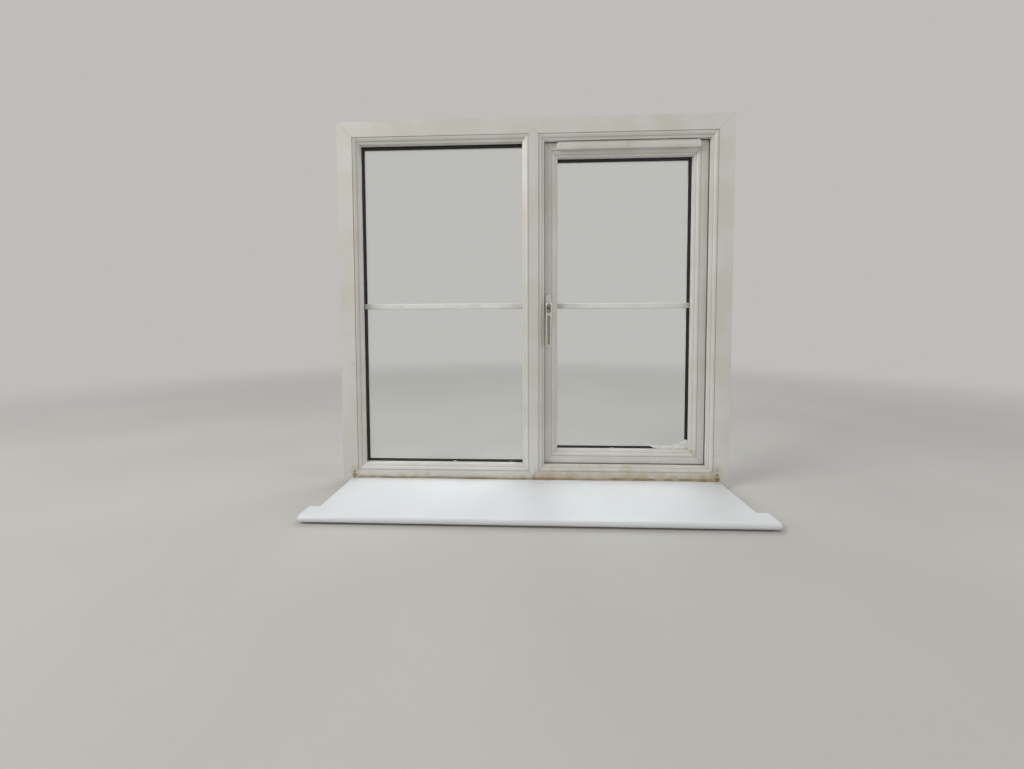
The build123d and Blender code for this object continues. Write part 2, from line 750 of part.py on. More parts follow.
with BuildPart() as espag_rod:
    with Locations(((rod_low_x + rod_high_x) / 2, gear_y, handle_height)):
        Box(rod_thickness, rod_width, rod_length)
    # the plain rack, without teeth, that the follower drives, clear of the case's inner walls
    rack_height = 2 * (case_half_height - rod_stroke)
    rack_width = case_thickness - 2 * case_wall - 2 * gear_clearance
    with Locations(((rod_high_x + rack_x) / 2, gear_y, handle_height)):
        Box(rack_x - rod_high_x, rack_width, rack_height)
    # between the case walls the rod narrows to the rack's width
    narrow_span = 2 * (case_half_height + rod_stroke + case_end_gap)
    for way in (1, -1):
        with Locations(((rod_low_x + rod_high_x) / 2, gear_y + way * (rack_width + rod_width) / 2, handle_height)):
            Box(rod_thickness + overcut, rod_width, narrow_span, mode=Mode.SUBTRACT)
    for level in cam_levels:
        cam_base = Plane(origin=(rod_low_x, gear_y, level), x_dir=(0, 1, 0), z_dir=(-1, 0, 0))
        stem_length = groove_depth + rod_clearance + cam_height
        with BuildSketch(cam_base):
            Circle(cam_stem_radius)
        extrude(amount=stem_length)
        with BuildSketch(cam_base.offset(stem_length - cam_head)):
            Circle(cam_radius)
        extrude(amount=cam_head)
        with BuildSketch(cam_base.offset(groove_depth + rod_clearance + cam_body_gap)):
            Circle(cam_body_radius)
        extrude(amount=cam_height - cam_body_gap)
finish(espag_rod, "espag_rod")

with BuildPart() as espag_follower:
    pinion_side = pinion_thickness / 2
    with BuildSketch(facing_plane(gear_y + pinion_side)):
        with Locations((spindle_x, handle_height)):
            Circle(pinion_radius)
            Rectangle(spindle_bore, spindle_bore, mode=Mode.SUBTRACT)
    extrude(amount=pinion_thickness)
finish(espag_follower, "espag_follower")

# Keeps on the mullion: a plate, and a lip that stands just above the cam's rest place, clear of its travel
with BuildPart() as lock_keeps:
    keep_x = vent_rect[0]
    for level in cam_levels:
        lip_foot = level + cam_radius + keep_cam_gap
        plate_foot = lip_foot - keep_length / 2
        with Locations((keep_x + keep_thickness / 2, gear_y, plate_foot + keep_length / 2)):
            Box(keep_thickness, keep_width, keep_length)
        lip_height = keep_length / 2 - keep_lip_end
        lip_y = gear_y + cam_radius + keep_lip_gap + keep_lip_thickness / 2
        with Locations((keep_x + keep_thickness + keep_lip / 2, lip_y, lip_foot + lip_height / 2)):
            Box(keep_lip, keep_lip_thickness, lip_height)
finish(lock_keeps, "lock_keeps")

# Handle: base, lever with its hub, spindle, key cylinder and screws
base_front = sash_face - handle_base_depth
lever_back = base_front - lever_lift
hub_front = base_front - lever_lift - hub_depth
screw_seat_y = base_front + screw_head_height + screw_head_sink
screw_end_y = gear_y - case_thickness / 2 - screw_end_gap
key_z = handle_height - lock_drop

with BuildPart() as handle_base:
    with BuildSketch(facing_plane(sash_face)):
        with Locations((spindle_x, handle_height)):
            SlotOverall(handle_base_height, handle_base_width, rotation=90)
    extrude(amount=handle_base_depth)
    front_edges = handle_base.faces().sort_by(Axis.Y)[0].edges()
    fillet(front_edges, base_edge_radius)
    with BuildSketch(facing_plane(sash_face + overcut)):
        with Locations((spindle_x, handle_height)):
            Circle(neck_radius + neck_clearance)
    extrude(amount=handle_base_depth + 2 * overcut, mode=Mode.SUBTRACT)
    for level in screw_levels:
        with BuildSketch(facing_plane(sash_face + overcut)):
            with Locations((spindle_x, level)):
                Circle(screw_radius + screw_clearance)
        extrude(amount=handle_base_depth + 2 * overcut, mode=Mode.SUBTRACT)
        with BuildSketch(facing_plane(screw_seat_y)):
            with Locations((spindle_x, level)):
                Circle(screw_head_radius + screw_clearance)
        extrude(amount=screw_head_height + screw_head_sink + overcut, mode=Mode.SUBTRACT)
finish(handle_base, "handle_base")

with BuildPart() as handle_screws:
    for level in screw_levels:
        with BuildSketch(facing_plane(screw_seat_y)):
            with Locations((spindle_x, level)):
                Circle(screw_head_radius)
        extrude(amount=screw_head_height)
        with BuildSketch(facing_plane(screw_end_y)):
            with Locations((spindle_x, level)):
                Circle(screw_radius)
        extrude(amount=screw_end_y - screw_seat_y)
finish(handle_screws, "handle_screws")

with BuildPart() as handle_lever:
    lever_foot = handle_height - lever_below
    hub_top = handle_height + hub_above
    hub_bottom = handle_height - hub_below
    arm_front = hub_front + arm_step
    arm_back = arm_front + lever_thickness
    shoulder = hub_bottom - arm_shoulder
    # side view: hub, then a cranked arm
    with BuildSketch(Plane(origin=(spindle_x, 0, 0), x_dir=(0, 1, 0), z_dir=(1, 0, 0))):
        with BuildLine():
            Polyline((hub_front + hub_round, hub_top), (lever_back - hub_back_run, hub_top),
                     (lever_back, hub_top - hub_back_rise), (lever_back, hub_bottom),
                     (arm_back, hub_bottom - arm_root), (arm_back - lever_crank, lever_foot),
                     (arm_front - lever_crank, lever_foot), (arm_front, shoulder), (hub_front, hub_bottom),
                     (hub_front, hub_top - hub_round))
            ThreePointArc((hub_front, hub_top - hub_round), (hub_front + hub_round_sag, hub_top - hub_round_sag),
                          (hub_front + hub_round, hub_top))
        make_face()
    extrude(amount=lever_width / 2, both=True)
    # front view: rounded hub top, sides that taper to a round end
    with BuildSketch(facing_plane(lever_back + overcut)):
        with BuildLine():
            half = lever_width / 2
            end_half = lever_end_width / 2
            top_centre = hub_top - half
            end_centre = lever_foot + end_half
            Line((spindle_x - half, top_centre), (spindle_x - end_half, end_centre))
            ThreePointArc((spindle_x - end_half, end_centre), (spindle_x, lever_foot),
                          (spindle_x + end_half, end_centre))
            Line((spindle_x + end_half, end_centre), (spindle_x + half, top_centre))
            ThreePointArc((spindle_x + half, top_centre), (spindle_x, hub_top), (spindle_x - half, top_centre))
        make_face()
    extrude(amount=hub_depth + lever_crank + 2 * overcut, mode=Mode.INTERSECT)
    # rounded rims along the arm's front and back
    arm_faces = [f for f in handle_lever.faces().filter_by(GeomType.PLANE)
                 if abs(f.normal_at().Y) > 1 - 3 * near and f.center().Z < shoulder and f.area > lever_width ** 2]
    rims = [e for f in arm_faces for e in f.edges()
            if abs(e.tangent_at(0.5).X) < 1 - near or e.geom_type != GeomType.LINE]
    fillet(rims, lever_edge_radius)
    # softer sides of the hub's front
    hub_face = [f for f in handle_lever.faces().filter_by(GeomType.PLANE)
                if f.normal_at().Y < near - 1 and f.center().Z > shoulder][0]
    hub_sides = [e for e in hub_face.edges() if abs(e.tangent_at(0.5).Z) > 1 - near]
    fillet(hub_sides, hub_side_radius)
    # dished front: a tapered slot in the arm's sloping face
    slope = Vector(0, -lever_crank, lever_foot - shoulder).normalized()
    dish_plane = Plane(origin=(spindle_x, arm_front, shoulder), x_dir=(1, 0, 0), z_dir=Vector(1, 0, 0).cross(-slope))
    dish_end = (shoulder - lever_foot) / abs(slope.Z)
    with BuildSketch(dish_plane):
        with BuildLine():
            taper = (half - end_half) / (top_centre - end_centre)
            start_half = half - taper * (top_centre - shoulder + lever_dish_start) - lever_rim
            foot_half = end_half - lever_rim
            foot_centre = dish_end - end_half
            Line((-start_half, -lever_dish_start), (-foot_half, -foot_centre))
            ThreePointArc((-foot_half, -foot_centre), (0, -foot_centre - foot_half), (foot_half, -foot_centre))
            Line((foot_half, -foot_centre), (start_half, -lever_dish_start))
            ThreePointArc((start_half, -lever_dish_start), (0, start_half - lever_dish_start),
                          (-start_half, -lever_dish_start))
        make_face()
    extrude(amount=-lever_dish, mode=Mode.SUBTRACT)
    # neck that turns in the base, bored for the spindle
    with BuildSketch(facing_plane(sash_face - neck_end_gap)):
        with Locations((spindle_x, handle_height)):
            Circle(neck_radius)
    extrude(amount=sash_face - neck_end_gap - lever_back)
    with BuildSketch(facing_plane(sash_face)):
        with Locations((spindle_x, handle_height)):
            Rectangle(spindle_bore, spindle_bore)
    extrude(amount=sash_face - lever_back + spindle_seat + spindle_end_gap, mode=Mode.SUBTRACT)
    # seat of the key cylinder in the hub's front
    with BuildSketch(facing_plane(hub_front + lock_length)):
        with Locations((spindle_x, key_z)):
            Circle(lock_radius + lock_clearance)
    extrude(amount=lock_length + overcut, mode=Mode.SUBTRACT)
finish(handle_lever, "handle_lever")

with BuildPart() as lock_cylinder:
    with BuildSketch(facing_plane(hub_front + lock_length - lock_end_gap)):
        with Locations((spindle_x, key_z)):
            Circle(lock_radius)
    extrude(amount=lock_length - lock_end_gap - lock_sink)
    with BuildSketch(facing_plane(hub_front + keyway_depth)):
        with Locations((spindle_x, key_z)):
            Rectangle(keyway_width, keyway_height)
    extrude(amount=keyway_depth, mode=Mode.SUBTRACT)
finish(lock_cylinder, "lock_cylinder")

with BuildPart() as handle_spindle:
    spindle_end = lever_back - spindle_seat
    with Locations((spindle_x, spindle_end + spindle_length / 2, handle_height)):
        Box(spindle_side, spindle_length, spindle_side)
finish(handle_spindle, "handle_spindle")

# Trickle vent: body and flap in the room, hood outside
vent_front = sash_face - vent_depth
flap_low = vent_middle - vent_height / 2 + vent_lip
flap_high = vent_middle + vent_height / 2 - vent_rim
flap_half = vent_length / 2 - vent_end_wall
flap_axis_y = vent_front + flap_thickness / 2 + flap_recess
flap_axis_z = flap_low + flap_clearance + flap_thickness / 2

with BuildPart() as vent_body:
    with BuildSketch(facing_plane(sash_face)):
        with Locations((vent_centre_x, vent_middle)):
            RectangleRounded(vent_length, vent_height, vent_end_radius)
    extrude(amount=vent_depth)
    fillet(vent_body.faces().sort_by(Axis.Y)[0].edges(), vent_edge_radius)
    # the hollow behind the flap, open to the air slots
    with BuildSketch(facing_plane(sash_face + overcut)):
        with Locations((vent_centre_x, (flap_low + flap_high) / 2)):
            Rectangle(2 * flap_half, flap_high - flap_low)
    extrude(amount=vent_depth + 2 * overcut, mode=Mode.SUBTRACT)
    with BuildSketch(Plane(origin=(vent_centre_x, 0, 0), x_dir=(0, 1, 0), z_dir=(1, 0, 0))):
        with Locations((flap_axis_y, flap_axis_z)):
            Circle(flap_pin_radius + flap_pin_clearance)
    extrude(amount=flap_half + flap_pin_length + flap_pin_end_gap, both=True, mode=Mode.SUBTRACT)
finish(vent_body, "vent_body")

with BuildPart() as vent_flap:
    flap_top = flap_high - flap_clearance
    with BuildSketch(Plane(origin=(vent_centre_x, 0, 0), x_dir=(0, 1, 0), z_dir=(1, 0, 0))):
        with BuildLine():
            front = flap_axis_y - flap_thickness / 2
            back = flap_axis_y + flap_thickness / 2
            Line((back, flap_axis_z), (back, flap_top))
            Line((back, flap_top), (front, flap_top))
            Line((front, flap_top), (front, flap_axis_z))
            ThreePointArc((front, flap_axis_z), (flap_axis_y, flap_axis_z - flap_thickness / 2), (back, flap_axis_z))
        make_face()
    extrude(amount=flap_half - flap_clearance, both=True)
    with BuildSketch(Plane(origin=(vent_centre_x, 0, 0), x_dir=(0, 1, 0), z_dir=(1, 0, 0))):
        with Locations((flap_axis_y, flap_axis_z)):
            Circle(flap_pin_radius)
    extrude(amount=flap_half + flap_pin_length, both=True)
    # the catch at the flap's middle
    with Locations((vent_centre_x, front - flap_tab_depth / 2, flap_top - flap_tab_height / 2 - flap_tab_drop)):
        Box(flap_tab_width, flap_tab_depth, flap_tab_height)
finish(vent_flap, "vent_flap")


def hood_profile(face, depth, low, high, slope):
    """Side view of a hood: upright front, sloped shoulder, back against a face."""
    with BuildLine() as outline:
        Polyline((face, low), (face + depth, low), (face + depth, high - slope), (face + depth - slope, high),
                 (face, high), (face, low))
    make_face(outline.edges())


with BuildPart() as vent_canopy:
    canopy_low = slot_z - canopy_height / 2
    canopy_high = slot_z + canopy_height / 2
    canopy_side = Plane(origin=(vent_centre_x, 0, 0), x_dir=(0, 1, 0), z_dir=(1, 0, 0))
    with BuildSketch(canopy_side):
        hood_profile(sash_outside, canopy_depth, canopy_low, canopy_high, canopy_slope)
    extrude(amount=vent_length / 2, both=True)
    # hollow, open below and at the back
    with BuildSketch(canopy_side):
        hood_profile(sash_outside - overcut, canopy_depth + overcut - canopy_wall, canopy_low - overcut,
                     canopy_high - canopy_wall, canopy_slope)
    extrude(amount=vent_length / 2 - canopy_wall, both=True, mode=Mode.SUBTRACT)
finish(vent_canopy, "vent_canopy")

# Stays: a track on the frame, a shoe in it, an arm, and a plate on the casement
for place, level, direction in stay_places:
    # on a plane facing down, local Y is turned over
    line = direction * stay_y

    with BuildPart() as stay_track:
        middle = (track_left + track_right) / 2
        with BuildSketch(stay_layer(level, direction, 0)):
            with Locations((middle, line)):
                Rectangle(track_right - track_left, track_width)
        extrude(amount=track_lip_height)
        inner_width = track_width - 2 * track_lip_thickness
        with BuildSketch(stay_layer(level, direction, track_floor)):
            with Locations((middle, line)):
                Rectangle(track_right - track_left + 2 * overcut, inner_width)
        extrude(amount=track_lip_height, mode=Mode.SUBTRACT)
        with BuildSketch(stay_layer(level, direction, 0)):
            with Locations(*[(x, line) for x in track_screw_xs]):
                Circle(stay_screw_radius + screw_clearance)
        extrude(amount=track_floor, mode=Mode.SUBTRACT)
    finish(stay_track, f"{place}_stay_track")

    with BuildPart() as stay_shoe:
        shoe_width = inner_width - 2 * shoe_side_clearance
        with BuildSketch(stay_layer(level, direction, shoe_foot)):
            with Locations((shoe_pivot_x, line)):
                RectangleRounded(shoe_length, shoe_width, shoe_corner_radius)
        extrude(amount=shoe_top - shoe_foot)
        with BuildSketch(stay_layer(level, direction, shoe_top)):
            with Locations((shoe_pivot_x, line)):
                Circle(rivet_radius)
        extrude(amount=arm_foot + arm_thickness - shoe_top)
    finish(stay_shoe, f"{place}_stay_shoe")

    with BuildPart() as stay_arm:
        with BuildSketch(stay_layer(level, direction, arm_foot)):
            with Locations(((arm_pivot_x + shoe_pivot_x) / 2, line)):
                SlotCenterToCenter(stay_arm_length, stay_arm_width)
            with Locations((arm_pivot_x, line), (shoe_pivot_x, line)):
                Circle(rivet_radius + rivet_clearance, mode=Mode.SUBTRACT)
        extrude(amount=arm_thickness)
    finish(stay_arm, f"{place}_stay_arm")

    with BuildPart() as stay_plate:
        plate_foot = airspace - stay_plate_thickness
        with BuildSketch(stay_layer(level, direction, plate_foot)):
            with Locations(((plate_left + plate_right) / 2, line)):
                Rectangle(stay_plate_length, stay_plate_width)
            with Locations(*[(x, line) for x in plate_screw_xs]):
                Circle(stay_screw_radius + screw_clearance, mode=Mode.SUBTRACT)
        extrude(amount=stay_plate_thickness)
        with BuildSketch(stay_layer(level, direction, plate_foot)):
            with Locations(*[(x, line) for x in plate_screw_xs]):
                Circle(stay_screw_head_radius + screw_clearance)
        extrude(amount=stay_screw_head_height, mode=Mode.SUBTRACT)
        with BuildSketch(stay_layer(level, direction, arm_foot)):
            with Locations((arm_pivot_x, line)):
                Circle(rivet_radius)
        extrude(amount=plate_foot - arm_foot)
    finish(stay_plate, f"{place}_stay_plate")


def stay_screws(xs, seat, into):
    """Screws at head and foot, each with its head on a seat and its shank going into a member."""
    for _, level, direction in stay_places:
        for x in xs:
            with BuildSketch(stay_layer(level, direction, seat)) as head:
                with Locations((x, direction * stay_y)):
                    Circle(stay_screw_head_radius)
            extrude(head.sketch, amount=-into * stay_screw_head_height)
            with BuildSketch(stay_layer(level, direction, seat)) as shank:
                with Locations((x, direction * stay_y)):
                    Circle(stay_screw_radius)
            extrude(shank.sketch, amount=into * stay_screw_length)


with BuildPart() as frame_stay_screws:
    stay_screws(track_screw_xs, track_floor, -1)
finish(frame_stay_screws, "frame_stay_screws")

with BuildPart() as sash_stay_screws:
    stay_screws(plate_screw_xs, airspace - stay_plate_thickness + stay_screw_head_height, 1)
finish(sash_stay_screws, "sash_stay_screws")

# Drainage hoods on the outside of the frame's foot
with BuildPart() as drain_caps:
    outside = room_face + frame_depth
    for centre in (-frame_width / 2 + drain_end, frame_width / 2 - drain_end):
        cap_z = wall + drain_slot_height + drain_cap_rise
        hollow_depth = drain_cap_depth - drain_cap_wall
        with Locations((centre, outside + drain_cap_depth / 2, cap_z)):
            Box(drain_cap_length, drain_cap_depth, drain_cap_height)
        with Locations((centre, outside + hollow_depth / 2, cap_z - drain_cap_wall)):
            Box(drain_cap_length - 2 * drain_cap_wall, hollow_depth, drain_cap_height, mode=Mode.SUBTRACT)
finish(drain_caps, "drain_caps")
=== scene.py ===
# %% [markdown]
# This lesson dresses a white uPVC casement window. A CAD program has already made every part at its
# real size, so the first step loads those parts as a fixed frame and never moves them. What is left
# for Blender is the look: plastic, glass, metal, sealant, the dirt of use, light and a camera.

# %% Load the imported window
import json
import math
import random

import bmesh
import bpy
from mathutils import Matrix, Vector


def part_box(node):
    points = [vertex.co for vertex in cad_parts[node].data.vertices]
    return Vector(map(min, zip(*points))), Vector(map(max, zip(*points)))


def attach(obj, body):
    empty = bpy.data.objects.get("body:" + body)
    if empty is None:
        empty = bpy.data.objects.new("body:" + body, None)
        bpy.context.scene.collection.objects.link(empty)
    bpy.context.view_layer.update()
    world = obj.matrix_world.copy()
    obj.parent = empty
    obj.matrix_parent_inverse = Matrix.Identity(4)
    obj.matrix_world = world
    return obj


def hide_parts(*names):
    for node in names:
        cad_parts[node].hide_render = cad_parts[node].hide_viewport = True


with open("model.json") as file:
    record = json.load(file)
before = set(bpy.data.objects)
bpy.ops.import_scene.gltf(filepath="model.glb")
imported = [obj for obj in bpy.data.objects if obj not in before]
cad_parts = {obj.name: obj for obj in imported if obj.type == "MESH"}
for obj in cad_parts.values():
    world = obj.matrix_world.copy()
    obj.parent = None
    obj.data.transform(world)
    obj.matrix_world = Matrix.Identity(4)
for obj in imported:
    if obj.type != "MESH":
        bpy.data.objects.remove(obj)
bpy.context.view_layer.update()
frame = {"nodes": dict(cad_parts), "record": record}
nodes = frame["nodes"]
print("pieces from the CAD model:", len(nodes))

# %% [markdown]
# A mesh, a lamp or a camera is only data at first. It shows once an object holds it and the object is
# linked to the scene, so one helper does both steps for every new piece, lamp and camera.

# %% Helper for new objects
def put_in_scene(name, data):
    """Makes an object from its data and links it to the scene."""
    made = bpy.data.objects.new(name, data)
    bpy.context.scene.collection.objects.link(made)
    return made


print("object helper ready")

# %% [markdown]
# The photograph was taken from inside, a little left of the middle and just below mid-height, with a
# very wide lens. Its place was worked out beforehand from the edges of the window, so the numbers
# below are a focal length in pixels, a place in metres and three small turns in radians. The picture
# had been cropped off centre, and the camera's vertical shift repeats that.

# %% Camera
IMAGE_WIDTH = 1024
IMAGE_HEIGHT = 769
FOCAL_PIXELS = 385.0
CENTRE_ROW = 341.58
SENSOR_WIDTH = 36.0
CAMERA_PLACE = Vector((-0.0181, -1.3198, 0.5443))
YAW = -0.0389
PITCH = -0.04245
ROLL = 0.00342

ahead = Vector((math.sin(YAW) * math.cos(PITCH), math.cos(YAW) * math.cos(PITCH), math.sin(PITCH)))
level_right = Vector((math.cos(YAW), -math.sin(YAW), 0.0))
level_down = ahead.cross(level_right)
right = level_right * math.cos(ROLL) + level_down * math.sin(ROLL)
down = level_down * math.cos(ROLL) - level_right * math.sin(ROLL)

camera_data = bpy.data.cameras.new("room_camera")
camera_data.sensor_width = SENSOR_WIDTH
camera_data.lens = FOCAL_PIXELS * SENSOR_WIDTH / IMAGE_WIDTH
camera_data.shift_y = (CENTRE_ROW - IMAGE_HEIGHT / 2) / IMAGE_WIDTH
camera = put_in_scene("room_camera", camera_data)
turn = Matrix((right, -down, -ahead)).transposed().to_4x4()
camera.matrix_world = Matrix.Translation(CAMERA_PLACE) @ turn
bpy.context.scene.camera = camera
print("lens", round(camera_data.lens, 2), "mm, shift", round(camera_data.shift_y, 4))

# %% [markdown]
# Materials are small networks of nodes. The helpers below only save typing: one adds a node and fills
# its sockets, one does a sum, one stretches a range of values, one measures a distance. A socket can
# be given a number, a colour or the output of another node.

# %% Helpers for node networks
def fill(tree, socket, value):
    """Gives a socket a plain value, or links another node's output to it."""
    if isinstance(value, bpy.types.NodeSocket):
        tree.links.new(value, socket)
    else:
        socket.default_value = value


def add(tree, kind, options=None, **sockets):
    """Adds a node. Options are its own settings; sockets are filled by name."""
    made = tree.nodes.new(kind)
    for name, value in (options or {}).items():
        setattr(made, name, value)
    for name, value in sockets.items():
        fill(tree, made.inputs[name.replace("_", " ")], value)
    return made


def calc(tree, operation, first, second=0.0, clamp=False):
    """One sum on two numbers."""
    made = tree.nodes.new("ShaderNodeMath")
    made.operation = operation
    made.use_clamp = clamp
    fill(tree, made.inputs[0], first)
    fill(tree, made.inputs[1], second)
    return made.outputs[0]


def spread(tree, value, low, high, new_low, new_high):
    """Stretches a range of values to a new range, smoothly and without going past its ends."""
    made = add(tree, "ShaderNodeMapRange", {"interpolation_type": "SMOOTHSTEP"}, Value=value,
               From_Min=low, From_Max=high, To_Min=new_low, To_Max=new_high)
    return made.outputs[0]


def place_on(tree):
    """Where a point lies on the window, in metres. It stays with a piece that moves."""
    return tree.nodes.new("ShaderNodeTexCoord").outputs["Object"]


def distance(tree, first, second=(0.0, 0.0, 0.0)):
    """How far apart two points lie."""
    made = add(tree, "ShaderNodeVectorMath", {"operation": "DISTANCE"})
    fill(tree, made.inputs[0], first)
    fill(tree, made.inputs[1], second)
    return made.outputs["Value"]


print("node helpers ready")

# %% [markdown]
# Several finishes share an effect, such as the ripple of plastic, a stain, or settled dust. Each could
# be built again in every material, but then one change means many. So each is made once, as a node
# group with named inputs, and every material places the same group with its own values.

# %% A way to make shared effects
def new_effect(name, inputs, outputs):
    """A shader node group with its inputs, as name and start value, and its outputs by name."""
    group = bpy.data.node_groups.new(name, "ShaderNodeTree")
    for label, start in inputs.items():
        kind = "NodeSocketFloat" if isinstance(start, float) else "NodeSocketVector"
        socket = group.interface.new_socket(name=label, in_out="INPUT", socket_type=kind)
        socket.default_value = start
    for label in outputs:
        group.interface.new_socket(name=label, in_out="OUTPUT", socket_type="NodeSocketFloat")
    start_node = group.nodes.new("NodeGroupInput")
    end_node = group.nodes.new("NodeGroupOutput")
    return group, start_node, end_node


def use(tree, effect, **values):
    """Places an effect in a material."""
    made = tree.nodes.new("ShaderNodeGroup")
    made.node_tree = effect
    for name, value in values.items():
        fill(tree, made.inputs[name.replace("_", " ")], value)
    return made


print("effect helpers ready")

# %% [markdown]
# Extruded and moulded plastic is never dead flat: it has a fine grain and broad shallow waves. A
# picture laid over the mesh would repeat and blur close up. Two layers of noise, placed by the
# piece's own coordinates, have no seams and stay sharp.

# %% Ripple of extruded and moulded plastic
ripple, ripple_in, ripple_out = new_effect(
    "plastic ripple", {"Grain Scale": 900.0, "Wave Scale": 14.0}, ["Height", "Variation"])
ripple_place = place_on(ripple)
grain = add(ripple, "ShaderNodeTexNoise", Vector=ripple_place, Scale=ripple_in.outputs["Grain Scale"],
            Detail=3.0, Roughness=0.55)
wave = add(ripple, "ShaderNodeTexNoise", Vector=ripple_place, Scale=ripple_in.outputs["Wave Scale"],
           Detail=2.0, Roughness=0.4)
GRAIN_SHARE = 0.25
fine = calc(ripple, "MULTIPLY", grain.outputs["Fac"], GRAIN_SHARE)
broad = calc(ripple, "MULTIPLY", wave.outputs["Fac"], 1.0 - GRAIN_SHARE)
fill(ripple, ripple_out.inputs["Height"], calc(ripple, "ADD", fine, broad))
fill(ripple, ripple_out.inputs["Variation"], wave.outputs["Fac"])
print("effect:", ripple.name)

# %% [markdown]
# Mould and dirt gather in small ragged spots. They could be painted by hand on a picture, but then
# each change is a new picture. Here a spot is the distance from a point, made ragged by noise, so a
# place and a size are enough for each one.

# %% A stain at one spot
stain, stain_in, stain_out = new_effect(
    "stain", {"Spot": (0.0, 0.0, 0.0), "Radius": 0.01, "Ragged": 0.6}, ["Mask"])
stain_place = place_on(stain)
gap = distance(stain, stain_place, stain_in.outputs["Spot"])
share = calc(stain, "DIVIDE", gap, stain_in.outputs["Radius"])
CRUMBLE_REACH = 2.4
crumble = add(stain, "ShaderNodeTexNoise", Vector=stain_place, Scale=260.0, Detail=4.0, Roughness=0.6)
shaken = calc(stain, "SUBTRACT", crumble.outputs["Fac"], 0.5)
shaken = calc(stain, "MULTIPLY", shaken, CRUMBLE_REACH)
shaken = calc(stain, "MULTIPLY", shaken, stain_in.outputs["Ragged"])
edge = calc(stain, "ADD", share, shaken)
fill(stain, stain_out.inputs["Mask"], spread(stain, edge, 0.15, 1.0, 1.0, 0.0))
print("effect:", stain.name)

# %% [markdown]
# Water that stands on the board dries to a tan line along the foot of the frame, broken into patches. On
# the frame's foot the band also stands for painted shade where the frame meets the board. The effect
# fades with the distance from a level. It stops at both ends and at a given depth, so that the frame's
# outside can stay clean.

# %% Grime and painted shade along a level line
def off_centre(tree, value, middle):
    """How far a value is from a middle, always positive."""
    return calc(tree, "ABSOLUTE", calc(tree, "SUBTRACT", value, middle))


tidemark, tide_in, tide_out = new_effect(
    "tidemark", {"Level": 0.0, "Reach": 0.01, "Middle X": 0.0, "Half Width": 0.65, "Back": 1.0,
                 "Patchiness": 0.5}, ["Mask"])
tide_place = place_on(tidemark)
tide_xyz = add(tidemark, "ShaderNodeSeparateXYZ", Vector=tide_place)
waver = add(tidemark, "ShaderNodeTexNoise", Vector=tide_place, Scale=17.0, Detail=3.0, Roughness=0.5)
waver_height = calc(tidemark, "SUBTRACT", waver.outputs["Fac"], 0.5)
waver_height = calc(tidemark, "MULTIPLY", waver_height, tide_in.outputs["Reach"])
tide_z = calc(tidemark, "ADD", tide_xyz.outputs["Z"], waver_height)
off_level = off_centre(tidemark, tide_z, tide_in.outputs["Level"])
off_level = calc(tidemark, "DIVIDE", off_level, tide_in.outputs["Reach"])
near_line = spread(tidemark, off_level, 0.0, 1.0, 1.0, 0.0)
patches = add(tidemark, "ShaderNodeTexNoise", Vector=tide_place, Scale=26.0, Detail=5.0, Roughness=0.62)
patch_mask = spread(tidemark, patches.outputs["Fac"], 0.38, 0.62, 0.0, 1.0)
bare_part = calc(tidemark, "SUBTRACT", 1.0, patch_mask)
bare_part = calc(tidemark, "MULTIPLY", bare_part, tide_in.outputs["Patchiness"])
kept_part = calc(tidemark, "SUBTRACT", 1.0, bare_part, clamp=True)
END_FADE = 0.001
BACK_FADE = 0.003
from_middle = off_centre(tidemark, tide_xyz.outputs["X"], tide_in.outputs["Middle X"])
past_end = calc(tidemark, "SUBTRACT", from_middle, tide_in.outputs["Half Width"])
within = spread(tidemark, past_end, -END_FADE, END_FADE / 2, 1.0, 0.0)
past_back = calc(tidemark, "SUBTRACT", tide_xyz.outputs["Y"], tide_in.outputs["Back"])
room_part = spread(tidemark, past_back, -BACK_FADE, 0.0, 1.0, 0.0)
within = calc(tidemark, "MULTIPLY", within, room_part)
line_mask = calc(tidemark, "MULTIPLY", near_line, kept_part)
fill(tidemark, tide_out.inputs["Mask"], calc(tidemark, "MULTIPLY", line_mask, within))
print("effect:", tidemark.name)

# %% [markdown]
# Wiping leaves scratches as fine as hairs in some places and none in others. Noise that is stretched
# along one direction gives the hairs, and a second, broad noise says where they lie.

# %% Fine scratches and rubbed patches
scuffs, scuff_in, scuff_out = new_effect("scuffs", {"Length": 9.0, "Count": 0.35}, ["Mask"])
scuff_place = place_on(scuffs)
stretched = add(scuffs, "ShaderNodeMapping", Vector=scuff_place)
stretched.inputs["Rotation"].default_value = (0.3, 0.5, 0.6)
stretched.inputs["Scale"].default_value = (1.5, 40.0, 40.0)
hairs = add(scuffs, "ShaderNodeTexNoise", Vector=stretched.outputs[0], Scale=scuff_in.outputs["Length"],
            Detail=6.0, Roughness=0.7)
rubbed = add(scuffs, "ShaderNodeTexNoise", Vector=scuff_place, Scale=7.0, Detail=2.0)
HAIR_WIDTH = 0.012
off_middle = off_centre(scuffs, hairs.outputs["Fac"], 0.5)
thin = spread(scuffs, off_middle, 0.0, HAIR_WIDTH, 1.0, 0.0)
where = spread(scuffs, rubbed.outputs["Fac"], 0.52, 0.66, 0.0, 1.0)
both = calc(scuffs, "MULTIPLY", thin, where)
fill(scuffs, scuff_out.inputs["Mask"], calc(scuffs, "MULTIPLY", both, scuff_in.outputs["Count"]))
print("effect:", scuffs.name)
